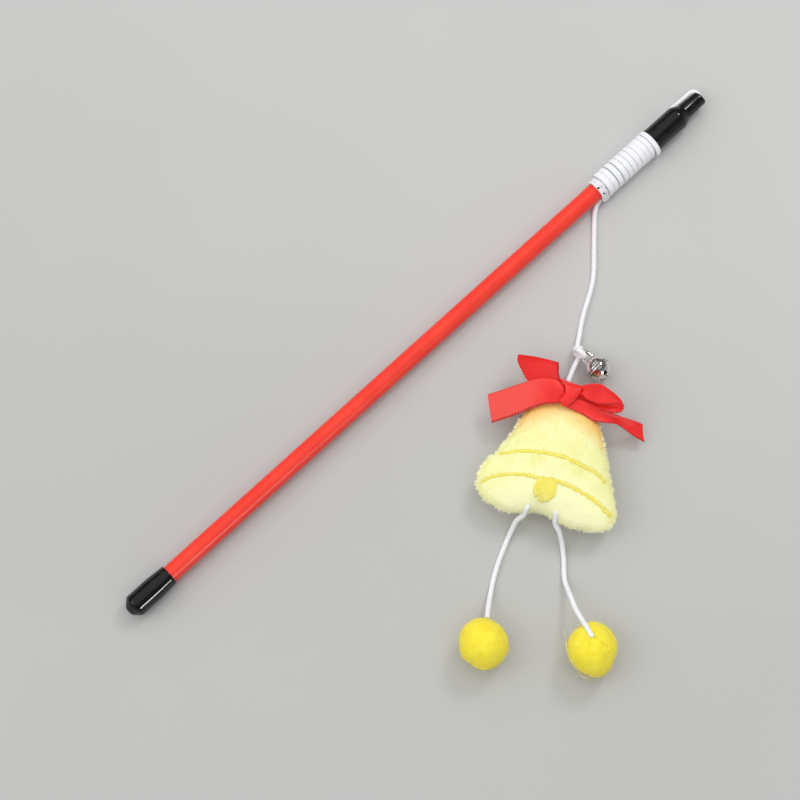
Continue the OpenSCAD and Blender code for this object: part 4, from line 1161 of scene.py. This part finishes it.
LEFT_STRAYS = [
    [(-9.6, 0.6, 0), (-10.5, 0.4, 0.3), (-11.2, -0.1, 0)], [(-9.4, 1.4, 1), (-10.6, 1.8, 1), (-11.3, 2.1, 0.5)],
    [(-9.5, -0.2, 1), (-10.4, -0.7, 1), (-11.0, -1.2, 0.6)],
]
SIDE_STRAY = [
    (-11.3, 8.0, -1), (-10.8, 5.6, 0), (-10.4, 3.0, 1), (-10.0, 0.2, 2.2), (-9.4, -2.2, 3.6), (-8.3, -4.2, 4.8),
    (-6.6, -6.4, 4.6),
]
UNDER_STRAY = [
    (-6.6, -7.3, -2), (-5.6, -9.0, -2), (-4.0, -10.6, -2.2), (-1.8, -11.7, -2.5), (0.6, -12.3, -3), (3.0, -12.2, -3.5),
]


def right_strays():
    """Loose pale fibres along the ball's left side and under it, as the picture shows them."""
    out = [SIDE_STRAY]
    for line, count, spread in ((SIDE_STRAY[2:], 4, 0.25), (UNDER_STRAY, 8, 0.35)):
        for _ in range(count):
            shift = draw.normal(size=3) * spread * [1, 1, 0.3]
            first = draw.integers(0, 3)
            out.append([np.array(p) + shift + draw.normal(size=3) * 0.12 for p in line[first:]])
    for u, v in ((-5.5, -10.8), (-2.4, -12.6), (-0.3, -13.0), (2.6, -12.2), (-6.5, -9.6)):
        out.append([(u * 0.9, v * 0.86, -3), (u, v, -3.5), (u * 1.06 + draw.normal() * 0.5, v * 1.1, -4.5)])
    out.append([(-6.2, 9.6, 0), (-5.4, 9.9, 0.6), (-4.6, 10.0, 0.8)])
    return out


def make_legs():
    pompom("pompom_left_felt", "pompom_left", "leg_left", LEFT_BALL, LEFT_SHAPE, 2.0, LEFT_STRAYS)
    pompom("pompom_right_felt", "pompom_right", "leg_right", RIGHT_BALL, RIGHT_SHAPE, 5.0, right_strays(), dented=True)
    left_end = toy([(-6.9, -46.9, 8.2), (-7.1, -48.0, 8.5), (-7.5, -49.2, 7.3)])
    right_end = toy([(4.3, -46.9, 8.2), (4.4, -48.0, 8.5), (4.7, -49.4, 7.3)])
    for side, end, line in (("left", left_end, LEG_LEFT), ("right", right_end, LEG_RIGHT)):
        sewn = tube("sewn_end_" + side, evenly(spline(np.vstack([end, line[:2]])), STEP), SEEN_R)
        piece(sewn, "cord", "leg_" + side, "white_elastic", "leg_cord_" + side)
        cord("cord_leg_" + side, line, "leg_" + side, "leg_cord_" + side)


make_legs()


# ---- neck wrap
def make_neck_wrap():
    """The ribbon's turn round the cord behind the knot, gathered to half its width."""
    rows = []
    for a in around(72):
        ring = []
        for t in np.linspace(0, 1, 16):
            r = 1.5 + 0.25 * math.sin(2 * math.pi * t * 2.5 + 0.6 * math.sin(a))
            y = 0.3 + 5.5 * t
            ring.append((r * math.cos(a), y, MID_Z + r * math.sin(a)))
        rows.append(ring)
    rows.append(rows[0])
    made, area = cloth("ribbon_neck_wrap", rows, "satin", "bow_neck_wrap", -1)


make_neck_wrap()


# ---- table and light
SCENE_MIDDLE = np.array([0.135, -0.009, 0])


def make_table():
    mesh = bpy.data.meshes.new("table")
    half = 1.6
    corners = [(-half, -half), (half, -half), (half, half), (-half, half)]
    mesh.from_pydata([(x + 0.15, y, FLOOR_Z * MM) for x, y in corners], [], [(0, 1, 2, 3)])
    table = new_object("table", mesh)
    look = Look("table_grey", 0.75, Specular_IOR_Level=0.2)
    # The grey lightens towards the far side: painted light, a wider pool of the key softbox's light on the table.
    lighter_way = 0.35 * RIGHT + 0.94 * AWAY
    far = look.between(look.sum_of((lighter_way, -lighter_way @ SCENE_MIDDLE / MM, 0)), -70.0, 130.0)
    dim_grey = look.ramp(look.noise(120), (0.52, 0.52, 0.51), (0.535, 0.533, 0.525))
    lit_grey = look.ramp(look.noise(120), (0.56, 0.56, 0.55), (0.575, 0.573, 0.565))
    look.colour(look.mix(far, dim_grey, lit_grey))
    look.bump(look.noise(1.5), 0.02)
    mesh.materials.append(look.material)


def lamp(name, right, away, up, power, wide, high):
    """A rectangular lamp that faces the middle; its place, in metres, is counted from there."""
    data = bpy.data.lights.new(name, "AREA")
    data.shape = "RECTANGLE"
    data.size, data.size_y = wide, high
    data.energy = power
    light = new_object(name, data)
    at = SCENE_MIDDLE + right * RIGHT + away * AWAY + up * UP
    light.location = at
    light.rotation_euler = Vector(SCENE_MIDDLE - at).to_track_quat("-Z", "Y").to_euler()
    return light


def make_light():
    """Light mostly from overhead, one softbox from the upper right, a weak one from the left, and a strip.

    The strip is only there for the long highlights on the caps, so it lights no matt surface.
    """
    world = bpy.data.worlds.new("studio")
    bpy.context.scene.world = world
    world.use_nodes = True
    sky = Nodes(world.node_tree)
    way = sky.place.outputs["Generated"]
    greys = ((0.35, 0.105), (0.72, 0.09), (0.82, 0.4))
    mirrored = sky.ramp(sky.dot(way, (0, 0.35, 0.937)), [0.29] * 3, [0.5] * 3, 0.1, 0.93, greys)
    overhead = unit(-0.22 * RIGHT + 0.12 * AWAY + UP)
    spread = sky.ramp(sky.dot(way, overhead), [0.36] * 3, [1.0] * 3, 0.4, 0.9)
    seen = sky.mix(sky.node("LightPath", {})["Is Glossy Ray"], spread, mirrored)
    sky.feed(world.node_tree.nodes["Background"], {"Strength": 1.22, "Color": seen})
    lamp("key_softbox", 0.44, 0.55, 0.79, 2.0, 0.24, 0.24)
    lamp("fill_softbox", -0.62, -0.1, 0.55, 0.75, 0.5, 0.5)
    lamp("low_softbox", 0.537, -0.66, 0.41, 1.7, 0.17, 0.18).visible_diffuse = False
    bpy.context.scene.view_settings.view_transform = "Standard"


make_table()
make_light()
